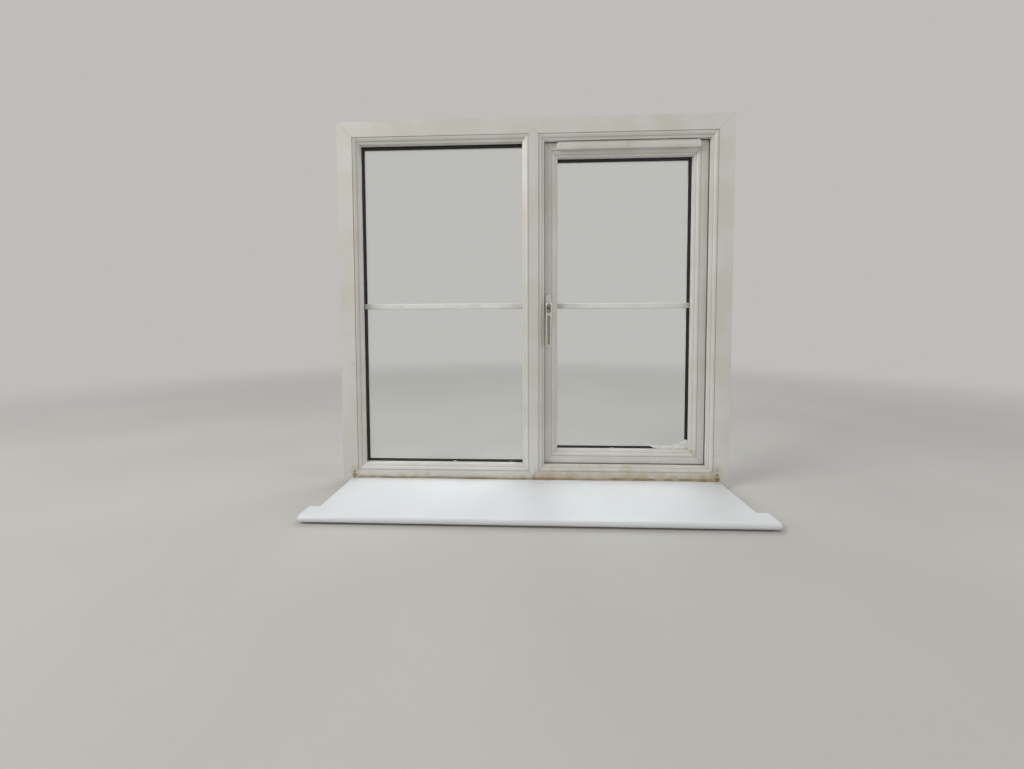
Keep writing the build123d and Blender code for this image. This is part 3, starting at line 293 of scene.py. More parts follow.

# %% [markdown]
# Where a face turns into the groove round an opening, a thin dark line shows: painted shade in the
# crease, with some settled dirt. A cut there would change the CAD shape, so the line is painted. It
# follows a rectangle, given by its middle and its half sizes, and only in front of a given depth.

# %% Painted shade line along the outline of an opening
ROOM_FADE = 0.0004
groove, groove_in, groove_out = new_effect(
    "groove shade line", {"Middle X": 0.0, "Middle Z": 0.6, "Half Width": 0.5, "Half Height": 0.5,
                    "Line": 0.001, "Back": 0.0}, ["Mask"])
groove_xyz = add(groove, "ShaderNodeSeparateXYZ", Vector=place_on(groove))
aside = off_centre(groove, groove_xyz.outputs["X"], groove_in.outputs["Middle X"])
aloft = off_centre(groove, groove_xyz.outputs["Z"], groove_in.outputs["Middle Z"])
aside = calc(groove, "SUBTRACT", aside, groove_in.outputs["Half Width"])
aloft = calc(groove, "SUBTRACT", aloft, groove_in.outputs["Half Height"])
off_line = calc(groove, "ABSOLUTE", calc(groove, "MAXIMUM", aside, aloft))
line_share = calc(groove, "DIVIDE", off_line, groove_in.outputs["Line"])
on_line = spread(groove, line_share, 0.3, 1.0, 1.0, 0.0)
behind = calc(groove, "SUBTRACT", groove_xyz.outputs["Y"], groove_in.outputs["Back"])
room_side = spread(groove, behind, 0.0, ROOM_FADE, 1.0, 0.0)
fill(groove, groove_out.inputs["Mask"], calc(groove, "MULTIPLY", on_line, room_side))
print("effect:", groove.name)

# %% [markdown]
# The members are cut at an angle and welded, and the cleaned weld stays as a hair line across each
# corner. Two pieces that touch without a gap show no line, so the effect draws one along the slope of
# the cut, the same at all four corners.

# %% Weld lines at mitred corners
weld, weld_in, weld_out = new_effect(
    "weld line", {"Middle X": 0.0, "Middle Z": 0.6, "Side Start": 0.0, "Level Start": 0.0, "Slope": 1.0,
                  "Side Low": 0.0, "Side High": 1.0, "Line": 0.001}, ["Mask"])
weld_xyz = add(weld, "ShaderNodeSeparateXYZ", Vector=place_on(weld))
weld_side = off_centre(weld, weld_xyz.outputs["X"], weld_in.outputs["Middle X"])
weld_level = off_centre(weld, weld_xyz.outputs["Z"], weld_in.outputs["Middle Z"])
weld_lean = calc(weld, "MULTIPLY", weld_side, weld_in.outputs["Slope"])
from_side = calc(weld, "SUBTRACT", weld_in.outputs["Side Start"], weld_lean)
from_level = calc(weld, "SUBTRACT", weld_in.outputs["Level Start"], weld_level)
off_weld = off_centre(weld, from_side, from_level)
weld_share = calc(weld, "DIVIDE", off_weld, weld_in.outputs["Line"])
weld_mask = spread(weld, weld_share, 0.4, 1.0, 1.0, 0.0)
past_low = calc(weld, "GREATER_THAN", weld_side, weld_in.outputs["Side Low"])
before_high = calc(weld, "LESS_THAN", weld_side, weld_in.outputs["Side High"])
weld_span = calc(weld, "MULTIPLY", past_low, before_high)
WELD_OVERRUN = 0.001
weld_inside = calc(weld, "GREATER_THAN", from_level, -WELD_OVERRUN)
weld_span = calc(weld, "MULTIPLY", weld_span, weld_inside)
fill(weld, weld_out.inputs["Mask"], calc(weld, "MULTIPLY", weld_mask, weld_span))
print("effect:", weld.name)

# %% [markdown]
# The lever and its hub have long fronts with round ends. A picture of their outline isn't needed: a
# point is inside when it is near enough to a line that runs up the middle, and how near may grow from
# one end to the other.

# %% Inside of a long rounded outline
slot_shape, slot_in, slot_out = new_effect(
    "rounded slot", {"Middle X": 0.0, "Low Z": 0.0, "High Z": 0.1, "Low Radius": 0.005,
                     "High Radius": 0.005}, ["Mask"])
slot_xyz = add(slot_shape, "ShaderNodeSeparateXYZ", Vector=place_on(slot_shape))
slot_rise = calc(slot_shape, "SUBTRACT", slot_xyz.outputs["Z"], slot_in.outputs["Low Z"])
slot_length = calc(slot_shape, "SUBTRACT", slot_in.outputs["High Z"], slot_in.outputs["Low Z"])
slot_share = calc(slot_shape, "DIVIDE", slot_rise, slot_length, clamp=True)
slot_nearest = calc(slot_shape, "MULTIPLY", slot_share, slot_length)
slot_above = calc(slot_shape, "SUBTRACT", slot_rise, slot_nearest)
slot_aside = calc(slot_shape, "SUBTRACT", slot_xyz.outputs["X"], slot_in.outputs["Middle X"])
slot_off = add(slot_shape, "ShaderNodeCombineXYZ", X=slot_aside, Y=slot_above)
slot_distance = distance(slot_shape, slot_off.outputs[0])
slot_growth = calc(slot_shape, "SUBTRACT", slot_in.outputs["High Radius"], slot_in.outputs["Low Radius"])
slot_growth = calc(slot_shape, "MULTIPLY", slot_share, slot_growth)
slot_radius = calc(slot_shape, "ADD", slot_in.outputs["Low Radius"], slot_growth)
slot_past = calc(slot_shape, "SUBTRACT", slot_distance, slot_radius)
SLOT_FADE_IN = 0.0006
SLOT_FADE_OUT = 0.0004
slot_mask = spread(slot_shape, slot_past, -SLOT_FADE_IN, SLOT_FADE_OUT, 1.0, 0.0)
fill(slot_shape, slot_out.inputs["Mask"], slot_mask)
print("effect:", slot_shape.name)

# %% [markdown]
# Dust lies where it can settle, on faces that look up. The upward part of the normal finds them, and
# noise breaks the layer into patches. Both are read in the piece's own coordinates, so the dust stays
# in place when the casement swings.

# %% Dust on upward faces
dust, dust_in, dust_out = new_effect("settled dust", {"Amount": 0.5}, ["Mask"])
dust_coords = dust.nodes.new("ShaderNodeTexCoord")
dust_up = add(dust, "ShaderNodeSeparateXYZ", Vector=dust_coords.outputs["Normal"]).outputs["Z"]
dust_level = spread(dust, dust_up, 0.6, 0.95, 0.0, 1.0)
dust_patches = add(dust, "ShaderNodeTexNoise", Vector=dust_coords.outputs["Object"], Scale=38.0,
                   Detail=6.0, Roughness=0.65)
dust_cover = spread(dust, dust_patches.outputs["Fac"], 0.35, 0.7, 0.2, 1.0)
dust_mask = calc(dust, "MULTIPLY", dust_level, dust_cover)
fill(dust, dust_out.inputs["Mask"], calc(dust, "MULTIPLY", dust_mask, dust_in.outputs["Amount"]))
print("effect:", dust.name)

# %% [markdown]
# A material starts with a Principled shader. Real extrusions and mouldings have edges rounded by half
# a millimetre, which catch the light. Most of the CAD edges are sharp, and their meshes must stay as
# they are, so a Bevel node rounds the shading there. Colour is built up in layers: each one covers
# what lies under it where its mask is 1, as dust covers plastic.

# %% Helpers for colours and masks
# places of the colour sockets on a Mix node, which also has sockets for numbers and vectors
COLOUR_FACTOR = 0
COLOUR_A = 6
COLOUR_B = 7
COLOUR_RESULT = 2


def blend_colour(tree, mask, under, over):
    """The first colour, covered by the second where the mask is 1."""
    made = tree.nodes.new("ShaderNodeMix")
    made.data_type = "RGBA"
    fill(tree, made.inputs[COLOUR_FACTOR], mask)
    fill(tree, made.inputs[COLOUR_A], under)
    fill(tree, made.inputs[COLOUR_B], over)
    return made.outputs[COLOUR_RESULT]


def tint(tree, colour, mask, strength, over):
    """A colour, covered by another to a given strength where the mask is 1."""
    return blend_colour(tree, calc(tree, "MULTIPLY", mask, strength), colour, over)


def rougher(tree, rough, mask, amount):
    """A roughness, raised by an amount where the mask is 1."""
    return calc(tree, "ADD", rough, calc(tree, "MULTIPLY", mask, amount), clamp=True)


def strongest(tree, masks):
    """The highest of several masks, point by point."""
    highest = masks[0]
    for mask in masks[1:]:
        highest = calc(tree, "MAXIMUM", highest, mask)
    return highest


print("colour helpers ready")

# %% Helpers for materials
def new_finish(name, **sockets):
    """A new material with its shader and output: returns the material, its tree and the shader."""
    finish = bpy.data.materials.new(name)
    finish.use_nodes = True
    tree = finish.node_tree
    tree.nodes.clear()
    shader = add(tree, "ShaderNodeBsdfPrincipled", **sockets)
    output = tree.nodes.new("ShaderNodeOutputMaterial")
    tree.links.new(shader.outputs[0], output.inputs["Surface"])
    return finish, tree, shader


def bumpy(tree, shader, height, depth, **normal):
    """A bump on the shading."""
    bump = add(tree, "ShaderNodeBump", Height=height, Strength=1.0, Distance=depth, **normal)
    tree.links.new(bump.outputs[0], shader.inputs["Normal"])


def soft_edges(tree, shader, height, depth, radius):
    """Rounded shading at edges, with a bump on top."""
    rounded = add(tree, "ShaderNodeBevel", {"samples": 4}, Radius=radius)
    bumpy(tree, shader, height, depth, Normal=rounded.outputs[0])


print("material helpers ready")

# %% Helpers for recipes
def patchy(tree, skin, low, high):
    """A number that wanders between two limits with the broad waves of a ripple."""
    return spread(tree, skin.outputs["Variation"], 0.3, 0.7, low, high)


def two_tones(tree, grain_scale, wave_scale, first, second, low=0.3, high=0.7):
    """A ripple, and a colour that wanders between two shades with its broad waves."""
    skin = use(tree, ripple, Grain_Scale=grain_scale, Wave_Scale=wave_scale)
    tone = spread(tree, skin.outputs["Variation"], low, high, 0.0, 1.0)
    return skin, blend_colour(tree, tone, first, second)


def coat(tree, shader, colour, rough):
    """Gives the shader its colour and its roughness."""
    fill(tree, shader.inputs["Base Color"], colour)
    fill(tree, shader.inputs["Roughness"], rough)


def stains_at(tree, spots, ragged=0.6):
    """One mask for several stains, each given as a place and a radius."""
    return strongest(tree, [use(tree, stain, Spot=place, Radius=radius, Ragged=ragged).outputs["Mask"]
                            for place, radius in spots])


print("recipe helpers ready")

# %% [markdown]
# White uPVC is never pure white. Its surface is satin, with the slight ripple of the extruder, and after
# some years it is a little grey. The window in the photograph has brown grime in its lower corners, a tan
# band along the board that is partly a tidemark and partly painted shade, and a few dark spots. Painted
# shade lines, with some dirt, follow the creases round the openings. Frame and casement share one recipe,
# and each gets its own spots.

# %% White plastic recipe
UPVC_WHITE = (0.74, 0.73, 0.70, 1.0)
UPVC_SHADE = (0.68, 0.665, 0.62, 1.0)
# brown of grime; at the mullion's foot and the sealant's foot it also stands for painted shade
BROWN_GRIME_AND_SHADE = (0.16, 0.105, 0.055, 1.0)
# tan of dried dirt; on the frame's foot it also stands for painted shade
TAN_GRIME_AND_SHADE = (0.46, 0.37, 0.23, 1.0)
DUST_GREY = (0.42, 0.39, 0.33, 1.0)
SCRATCH_GREY = (0.45, 0.43, 0.40, 1.0)
# painted shade in creases and seams, with some dirt
GROOVE_SHADE_GREY = (0.10, 0.09, 0.075, 1.0)
WELD_GREY = (0.38, 0.35, 0.30, 1.0)
WELD_WIDTH = 0.0011
WELD_STRENGTH = 0.6
DUST_AMOUNT = 0.30
FAINT_STRENGTH = 0.38
GRIME_STRENGTH = 0.85
TIDE_PATCHINESS = 0.7
PLASTIC_IOR = 1.48
PLASTIC_BUMP = 0.00025
EDGE_RADIUS = 0.0007


def white_plastic(name, spots, faint_spots, tides_and_shade=(), shade_lines=(), welds=()):
    """Aged white plastic: yellowing, dust, painted shade in creases, dirt and shade along levels, welds,
    spot stains.
    """
    finish, tree, shader = new_finish(name, IOR=PLASTIC_IOR)
    skin, colour = two_tones(tree, 700.0, 9.0, UPVC_WHITE, UPVC_SHADE)
    settled = use(tree, dust, Amount=DUST_AMOUNT).outputs["Mask"]
    colour = blend_colour(tree, settled, colour, DUST_GREY)
    rough = patchy(tree, skin, low=0.30, high=0.42)
    # painted shade lines round the openings, with some dirt
    for (mid_x, mid_z, half_x, half_z), width, back, strength in shade_lines:
        painted_shade_line = use(tree, groove, Middle_X=mid_x, Middle_Z=mid_z, Half_Width=half_x,
                        Half_Height=half_z, Line=width, Back=back).outputs["Mask"]
        colour = tint(tree, colour, painted_shade_line, strength, GROOVE_SHADE_GREY)
    for (mid_x, mid_z), side, level, slope, low, high in welds:
        seam = use(tree, weld, Middle_X=mid_x, Middle_Z=mid_z, Side_Start=side, Level_Start=level,
                   Slope=slope, Side_Low=low, Side_High=high, Line=WELD_WIDTH).outputs["Mask"]
        colour = tint(tree, colour, seam, WELD_STRENGTH, WELD_GREY)
        rough = rougher(tree, rough, seam, amount=0.2)
    # tan bands along levels: dirt, and on the frame's foot also painted shade
    for level, reach, mid_x, half_x, back, strength in tides_and_shade:
        line = use(tree, tidemark, Level=level, Reach=reach, Middle_X=mid_x, Half_Width=half_x, Back=back,
                   Patchiness=TIDE_PATCHINESS).outputs["Mask"]
        line = calc(tree, "MULTIPLY", line, strength)
        colour = blend_colour(tree, line, colour, TAN_GRIME_AND_SHADE)
        rough = rougher(tree, rough, line, amount=0.3)
    rubbed_lines = use(tree, scuffs, Length=3.0, Count=0.25).outputs["Mask"]
    colour = blend_colour(tree, rubbed_lines, colour, SCRATCH_GREY)
    if faint_spots:
        weak = stains_at(tree, faint_spots, ragged=0.45)
        colour = tint(tree, colour, weak, FAINT_STRENGTH, TAN_GRIME_AND_SHADE)
    if spots:
        dark = stains_at(tree, spots, ragged=0.75)
        colour = tint(tree, colour, dark, GRIME_STRENGTH, BROWN_GRIME_AND_SHADE)
        rough = rougher(tree, rough, dark, amount=0.35)
    coat(tree, shader, colour, rough)
    soft_edges(tree, shader, skin.outputs["Height"], depth=PLASTIC_BUMP, radius=EDGE_RADIUS)
    return finish


# %% Stains of the frame and the casement
def on_face(face_y, rows):
    """Spots on a flat face: each row is a place across, a height and a radius."""
    return [((x, face_y, z), radius) for x, z, radius in rows]


# spots: where the photograph shows brown grime, the last one also painted shadow below the mullion, then
# where it shows a paler tan
ROOM_Y = -0.035
frame_grime_and_shadow_spots = on_face(ROOM_Y, [
    (-0.6130, 0.0310, 0.010), (-0.6060, 0.0330, 0.006), (-0.6125, 0.0430, 0.006),
    (0.6160, 0.0300, 0.010), (0.6080, 0.0320, 0.006), (0.6140, 0.0440, 0.0065),
    (0.6120, 0.0590, 0.0040), (-0.5850, 1.1640, 0.004), (-0.5790, 1.1638, 0.003),
    (-0.6082, 0.4142, 0.0028), (0.6044, 0.1086, 0.0028), (0.6050, 0.1290, 0.0020),
    # painted shadow below the mullion, with brown grime
    (0.0039, 0.0354, 0.0040),
])
frame_faint = on_face(ROOM_Y, [
    (-0.6080, 0.0480, 0.030), (0.6120, 0.0520, 0.034), (0.1300, 0.0330, 0.034),
    (0.0500, 0.0340, 0.026), (0.5600, 0.0330, 0.030), (-0.3600, 0.0320, 0.022),
])
casement_spots = [((0.0666, -0.009, 0.7331), 0.0016), ((0.5390, -0.001, 0.1130), 0.0035)]
casement_faint = [((0.5460, -0.006, 0.1100), 0.016), ((0.4300, -0.009, 0.0660), 0.020)]
print("stains:", len(frame_grime_and_shadow_spots + casement_spots), "brown,", len(frame_faint + casement_faint), "tan")

# %% Tidemarks and painted shade along the foot
# each tide: level, reach, middle across, half width, back, strength
BOARD_HALF = 0.6165
TIDE_BACK = -0.016
RIGHT_TIDE_X = 0.31025
# the frame's tan bands: dried water and painted shade where the foot meets the board
frame_tides_and_shade = [
    (0.016, 0.034, 0.0, BOARD_HALF, TIDE_BACK, 0.75),
    (0.027, 0.005, 0.0, BOARD_HALF, TIDE_BACK, 0.75),
    (0.028, 0.060, RIGHT_TIDE_X, BOARD_HALF - RIGHT_TIDE_X, TIDE_BACK, 0.6),
]
casement_tides = [(0.0640, 0.004, 0.0, 0.6, 0.010, 0.35)]
print("tidemarks:", len(frame_tides_and_shade), "on the frame,", len(casement_tides), "on the casement")

# %% Painted shade lines round the openings
# each painted shade line: middle and half size of the outline, width of the line, back, strength
MIDDLE_Z = 0.610
FIXED_X = -0.30585
CASEMENT_X = 0.30985
FRAME_BACK = -0.0325
CREASE_BACK = -0.0264
CASEMENT_BACK = -0.0060
frame_shade_lines = [
    ((FIXED_X, MIDDLE_Z, 0.29315, 0.559), 0.0012, FRAME_BACK, 0.55),
    ((CASEMENT_X, MIDDLE_Z, 0.28915, 0.559), 0.0012, FRAME_BACK, 0.55),
    ((FIXED_X, MIDDLE_Z, 0.28115, 0.547), 0.0012, CREASE_BACK, 0.35),
    ((CASEMENT_X, MIDDLE_Z, 0.27715, 0.547), 0.0012, CREASE_BACK, 0.35),
]
casement_shade_lines = [
    ((CASEMENT_X, MIDDLE_Z, 0.24445, 0.5143), 0.0011, CASEMENT_BACK, 0.5),
    ((CASEMENT_X, MIDDLE_Z, 0.23245, 0.5023), 0.0011, 0.0000, 0.35),
    ((CASEMENT_X, MIDDLE_Z, 0.27015, 0.5400), 0.0032, -0.0080, 0.85),
]
print("groove lines:", len(frame_shade_lines), "on the frame,", len(casement_shade_lines), "on the casement")

# %% Welds, then the two plastics
# each weld: middle that its corners lie round, start across, start in height, slope, from, to
MULLION_X = 0.004
frame_welds = [
    ((0.0, MIDDLE_Z), 0.650, 0.610, 1.0, 0.575, 0.652),
    ((MULLION_X, MIDDLE_Z), 0.0, 0.5757, -1.0, 0.0, 0.0357),
]
casement_welds = [((CASEMENT_X, MIDDLE_Z), 0.27815, 0.548, 1.0, 0.222, 0.280)]
frame_plastic = white_plastic(
    "frame_plastic", frame_grime_and_shadow_spots, frame_faint, frame_tides_and_shade, frame_shade_lines, frame_welds)
casement_plastic = white_plastic(
    "casement_plastic", casement_spots, casement_faint, casement_tides, casement_shade_lines,
    casement_welds)
print("plastic:", frame_plastic.name, casement_plastic.name)

# %% [markdown]
# The vent, the drain caps and the base of the handle are moulded in the same white, so they take the same
# recipe with few stains or none. The vent shows one fine upright seam at its middle. Its dark line is
# painted shade, drawn with the groove effect, because a real gap there would cut the flap in two.

# %% Vent, cap and handle base plastic
# only the left side of the seam's wide outline crosses the vent
SEAM_X = 0.31435
SEAM_HALF = 0.5
vent_seam_shade = [((SEAM_X + SEAM_HALF, 1.0, SEAM_HALF, 0.5), 0.0007, -0.0215, 0.8)]
vent_moulding = white_plastic("vent_moulding", spots=[], faint_spots=[], shade_lines=vent_seam_shade)
cap_faint = [((-0.39, 0.040, 0.008), 0.02)]
cap_tides = [(0.004, 0.006, 0.0, 0.6, 1.0, 0.5)]
cap_moulding = white_plastic("cap_moulding", spots=[], faint_spots=cap_faint, tides_and_shade=cap_tides)
handle_moulding = white_plastic("handle_moulding", spots=[], faint_spots=[])
print("plastic:", vent_moulding.name, cap_moulding.name, handle_moulding.name)

# %% [markdown]
# A flat bar lies between the two panes of each unit. It is shut in, so it has no dirt and no stains.
# It is a little greyer and duller than the frame, and a short recipe of its own is enough.

# %% Bar between the panes
BAR_WHITE = (0.66, 0.66, 0.65, 1.0)
BAR_SHADE = (0.60, 0.60, 0.58, 1.0)
bar_paint, bar_tree, bar_shader = new_finish("bar_paint")
bar_skin, bar_colour = two_tones(bar_tree, 1200.0, 30.0, BAR_WHITE, BAR_SHADE)
coat(bar_tree, bar_shader, bar_colour, patchy(bar_tree, bar_skin, low=0.40, high=0.55))
soft_edges(bar_tree, bar_shader, bar_skin.outputs["Height"], depth=0.0001, radius=0.0004)
print("bar:", bar_paint.name)

# %% [markdown]
# The window board is a white plastic board with a smooth foil on top. It is cleaner and glossier than
# the frame, with a few fine scratches, a gloss that changes a little from place to place, and some
# grime along the back joint and in the two back corners.

# %% Window board
FOIL_WHITE = (0.80, 0.825, 0.86, 1.0)
FOIL_SHADE = (0.76, 0.785, 0.815, 1.0)
FOIL_SCRATCH = (0.55, 0.55, 0.54, 1.0)
FOIL_IOR = 1.50
JOINT_STRENGTH = 0.55
board_foil, board_tree, board_shader = new_finish("board_foil", IOR=FOIL_IOR)
board_skin, board_colour = two_tones(board_tree, 420.0, 5.0, FOIL_WHITE, FOIL_SHADE)
joint_spots = [
    ((-0.610, -0.038, 0.023), 0.020), ((0.610, -0.040, 0.023), 0.030), ((0.56, -0.037, 0.023), 0.018),
    ((0.05, -0.036, 0.023), 0.012), ((-0.2, -0.036, 0.023), 0.010),
]
joint_grime = stains_at(board_tree, joint_spots, ragged=0.9)
board_colour = tint(board_tree, board_colour, joint_grime, JOINT_STRENGTH, TAN_GRIME_AND_SHADE)
board_scuffs = use(board_tree, scuffs, Length=2.5, Count=0.35).outputs["Mask"]
board_colour = blend_colour(board_tree, board_scuffs, board_colour, FOIL_SCRATCH)
board_rough = patchy(board_tree, board_skin, low=0.285, high=0.37)
board_rough = rougher(board_tree, board_rough, board_scuffs, amount=0.8)
coat(board_tree, board_shader, board_colour, board_rough)
soft_edges(board_tree, board_shader, board_skin.outputs["Height"], depth=0.0002, radius=0.001)
print("board:", board_foil.name)

# %% [markdown]
# Glass is clear and almost invisible from the front, so its look is what it mirrors, a little sharper
# in some places than in others, as after wiping. Each unit has two real panes with a gap. Light Path
# lets the lamps' light go through the panes, because otherwise glass would cast a black shadow on the
# board. Window glass has an IOR near 1.5. The lower value here weakens its mirror image of the pale
# studio, which would turn the black bands behind the panes grey.

# %% Clear glass
def blend_shaders(tree, mask, under, over, output):
    """Sends a blend of two shaders to an output node: the second where the mask is 1."""
    made = tree.nodes.new("ShaderNodeMixShader")
    fill(tree, made.inputs[0], mask)
    fill(tree, made.inputs[1], under)
    fill(tree, made.inputs[2], over)
    fill(tree, output.inputs["Surface"], made.outputs[0])


def find_node(tree, kind):
    """The first node of one kind."""
    return next(node for node in tree.nodes if node.type == kind)


GLASS_TINT = (0.985, 0.995, 0.990, 1.0)
SHADOW_TINT = (0.95, 0.97, 0.96, 1.0)
GLASS_IOR = 1.33
pane_glass, glass_tree, glass_shader = new_finish(
    "pane_glass", Base_Color=GLASS_TINT, Transmission_Weight=1.0, IOR=GLASS_IOR)
wipes = add(glass_tree, "ShaderNodeTexNoise", Vector=place_on(glass_tree), Scale=5.0, Detail=6.0,
            Roughness=0.6)
wiped = spread(glass_tree, wipes.outputs["Fac"], 0.3, 0.75, 0.008, 0.03)
fill(glass_tree, glass_shader.inputs["Roughness"], wiped)
light_path = glass_tree.nodes.new("ShaderNodeLightPath")
open_shadow = add(glass_tree, "ShaderNodeBsdfTransparent", Color=SHADOW_TINT)
blend_shaders(glass_tree, light_path.outputs["Is Shadow Ray"], glass_shader.outputs[0],
              open_shadow.outputs[0], find_node(glass_tree, "OUTPUT_MATERIAL"))
print("glass:", pane_glass.name)

# %% [markdown]
# The gaskets are rubber, black or pale, and the packers under the glass are blue plastic. All are dull,
# with a fine grain and a bloom of dust in patches. One function makes the three, because only their
# colours, their grain and their gloss differ.

# %% Rubber and packers
def dull_polymer(name, colour, bloom, grain_scale, specular=0.5):
    """A dull rubber or plastic with a bloom of dust in patches."""
    finish, tree, shader = new_finish(name, Specular_IOR_Level=specular)
    skin = use(tree, ripple, Grain_Scale=grain_scale, Wave_Scale=40.0)
    bloom_mask = spread(tree, skin.outputs["Variation"], 0.42, 0.72, 0.0, 0.5)
    dusted = blend_colour(tree, bloom_mask, colour, bloom)
    coat(tree, shader, dusted, patchy(tree, skin, low=0.55, high=0.75))
    soft_edges(tree, shader, skin.outputs["Height"], depth=0.00015, radius=0.0004)
    return finish


RUBBER_GRAIN = 1500.0
black_rubber = dull_polymer(
    "black_rubber", colour=(0.010, 0.010, 0.010, 1.0), bloom=(0.040, 0.038, 0.034, 1.0),
    grain_scale=RUBBER_GRAIN, specular=0.2)
pale_rubber = dull_polymer(
    "pale_rubber", colour=(0.74, 0.735, 0.71, 1.0), bloom=(0.60, 0.585, 0.54, 1.0),
    grain_scale=RUBBER_GRAIN)
packer_blue = dull_polymer(
    "packer_blue", colour=(0.05, 0.12, 0.30, 1.0), bloom=(0.14, 0.18, 0.28, 1.0),
    grain_scale=600.0)
print("dull finishes:", black_rubber.name, pale_rubber.name, packer_blue.name)

# %% [markdown]
# A black spacer runs round the edge of each glass unit and shows as the dark band round the panes. It
# has rows of pin holes, through which its drying grains breathe. They are far too small to cut, so
# they are a regular grid of dots, darker and sunk in the bump. Three pale specks lie on the lower
# runs, as in the photograph.

# %% Spacer of the glass units
SPACER_BLACK = (0.004, 0.004, 0.004, 1.0)
HOLE_BLACK = (0.001, 0.001, 0.001, 1.0)
SPECK_GREY = (0.50, 0.49, 0.47, 1.0)
SPACER_SPECULAR = 0.01
spacer_black, spacer_tree, spacer_shader = new_finish(
    "spacer_black", Specular_IOR_Level=SPACER_SPECULAR)
spacer_skin = use(spacer_tree, ripple, Grain_Scale=1800.0, Wave_Scale=60.0)
dots = add(spacer_tree, "ShaderNodeTexVoronoi", {"feature": "F1"}, Vector=place_on(spacer_tree),
           Scale=330.0, Randomness=0.0)
pin_holes = spread(spacer_tree, dots.outputs["Distance"], 0.16, 0.24, 1.0, 0.0)
spacer_colour = blend_colour(spacer_tree, pin_holes, SPACER_BLACK, HOLE_BLACK)
pale_specks = [
    ((-0.269, 0.000, 0.0708), 0.0075), ((-0.073, 0.000, 0.0708), 0.0060),
    ((0.277, 0.022, 0.1155), 0.0075),
]
speck_mask = stains_at(spacer_tree, pale_specks, ragged=0.3)
spacer_colour = blend_colour(spacer_tree, speck_mask, spacer_colour, SPECK_GREY)
coat(spacer_tree, spacer_shader, spacer_colour, patchy(spacer_tree, spacer_skin, low=0.45, high=0.62))
spacer_height = calc(spacer_tree, "SUBTRACT", spacer_skin.outputs["Height"], pin_holes)
soft_edges(spacer_tree, spacer_shader, spacer_height, depth=0.0001, radius=0.0003)
print("spacer:", spacer_black.name)

# %% [markdown]
# The handle's lever is bright plated metal that years of hands have worn, its key cylinder is dark
# steel, and the hidden hardware is zinc-plated steel with a fine bloom. They differ in colour, gloss
# and grain, so one function makes them all from those values.

# %% Metals
def plated_metal(name, colour, worn, rough_low, rough_high, grain_scale, bump_depth):
    """Plated metal with fine grain, worn patches and finger marks that change its gloss."""
    finish, tree, shader = new_finish(name, Metallic=1.0)
    skin = use(tree, ripple, Grain_Scale=grain_scale, Wave_Scale=70.0)
    worn_mask = spread(tree, skin.outputs["Variation"], 0.45, 0.75, 0.0, 0.8)
    rubbed_mask = use(tree, scuffs, Length=40.0, Count=0.5).outputs["Mask"]
    colour_mix = blend_colour(tree, worn_mask, colour, worn)
    colour_mix = blend_colour(tree, rubbed_mask, colour_mix, colour)
    rough = patchy(tree, skin, rough_low, rough_high)
    coat(tree, shader, colour_mix, rougher(tree, rough, rubbed_mask, amount=0.25))
    soft_edges(tree, shader, skin.outputs["Height"], depth=bump_depth, radius=0.0006)
    return finish


handle_plate = plated_metal(
    "handle_plate", colour=(0.80, 0.78, 0.74, 1.0), worn=(0.66, 0.63, 0.57, 1.0),
    rough_low=0.29, rough_high=0.38, grain_scale=2400.0, bump_depth=0.00004)
key_steel = plated_metal(
    "key_steel", colour=(0.10, 0.095, 0.09, 1.0), worn=(0.05, 0.048, 0.045, 1.0),
    rough_low=0.35, rough_high=0.5, grain_scale=2000.0, bump_depth=0.00004)
zinc_plate = plated_metal(
    "zinc_plate", colour=(0.60, 0.61, 0.62, 1.0), worn=(0.46, 0.46, 0.44, 1.0),
    rough_low=0.30, rough_high=0.50, grain_scale=1400.0, bump_depth=0.00005)
print("metals:", handle_plate.name, key_steel.name, zinc_plate.name)

# %% [markdown]
# In the photograph the rims of the lever are bright lines round a dark front, where the metal mirrors a
# dim room. The lever's dish is in its mesh, but metal alone would shine there too. So the dish and the
# front of the hub get a painted dark reflection, a dull brown inside a rounded outline, and only what
# lies round them shines.

# %% Painted dark reflection on the handle's fronts
# each outline: low and high middle, low and high radius; first the lever, then the hub
LEVER_X = 0.0537
REFLECTION_STRENGTH = 0.88
ROOM_REFLECTION_DARK = (0.23, 0.20, 0.15, 1.0)
ROOM_REFLECTION_PALE = (0.35, 0.32, 0.26, 1.0)
reflection_outlines = [(0.4825, 0.5710, 0.0041, 0.0062), (0.5908, 0.6070, 0.0072, 0.0076)]
handle_tree = handle_plate.node_tree
handle_shader = find_node(handle_tree, "BSDF_PRINCIPLED")
reflection_masks = []
for low_z, high_z, low_radius, high_radius in reflection_outlines:
    inside = use(handle_tree, slot_shape, Middle_X=LEVER_X, Low_Z=low_z, High_Z=high_z,
                 Low_Radius=low_radius, High_Radius=high_radius)
    reflection_masks.append(inside.outputs["Mask"])
painted_reflection = strongest(handle_tree, reflection_masks)
bright_colour = handle_shader.inputs["Base Color"].links[0].from_socket
reflection_colour = two_tones(handle_tree, 900.0, 110.0, ROOM_REFLECTION_DARK, ROOM_REFLECTION_PALE, low=0.35, high=0.65)[1]
# painted dark reflection: dull brown over the bright metal inside the outlines
handle_colour = tint(handle_tree, bright_colour, painted_reflection, REFLECTION_STRENGTH, reflection_colour)
fill(handle_tree, handle_shader.inputs["Base Color"], handle_colour)
print("dull fronts:", len(reflection_outlines))

# %% [markdown]
# Every CAD piece has a slot that names its finish. Giving the finish to the slot changes the look and
# leaves the mesh alone.

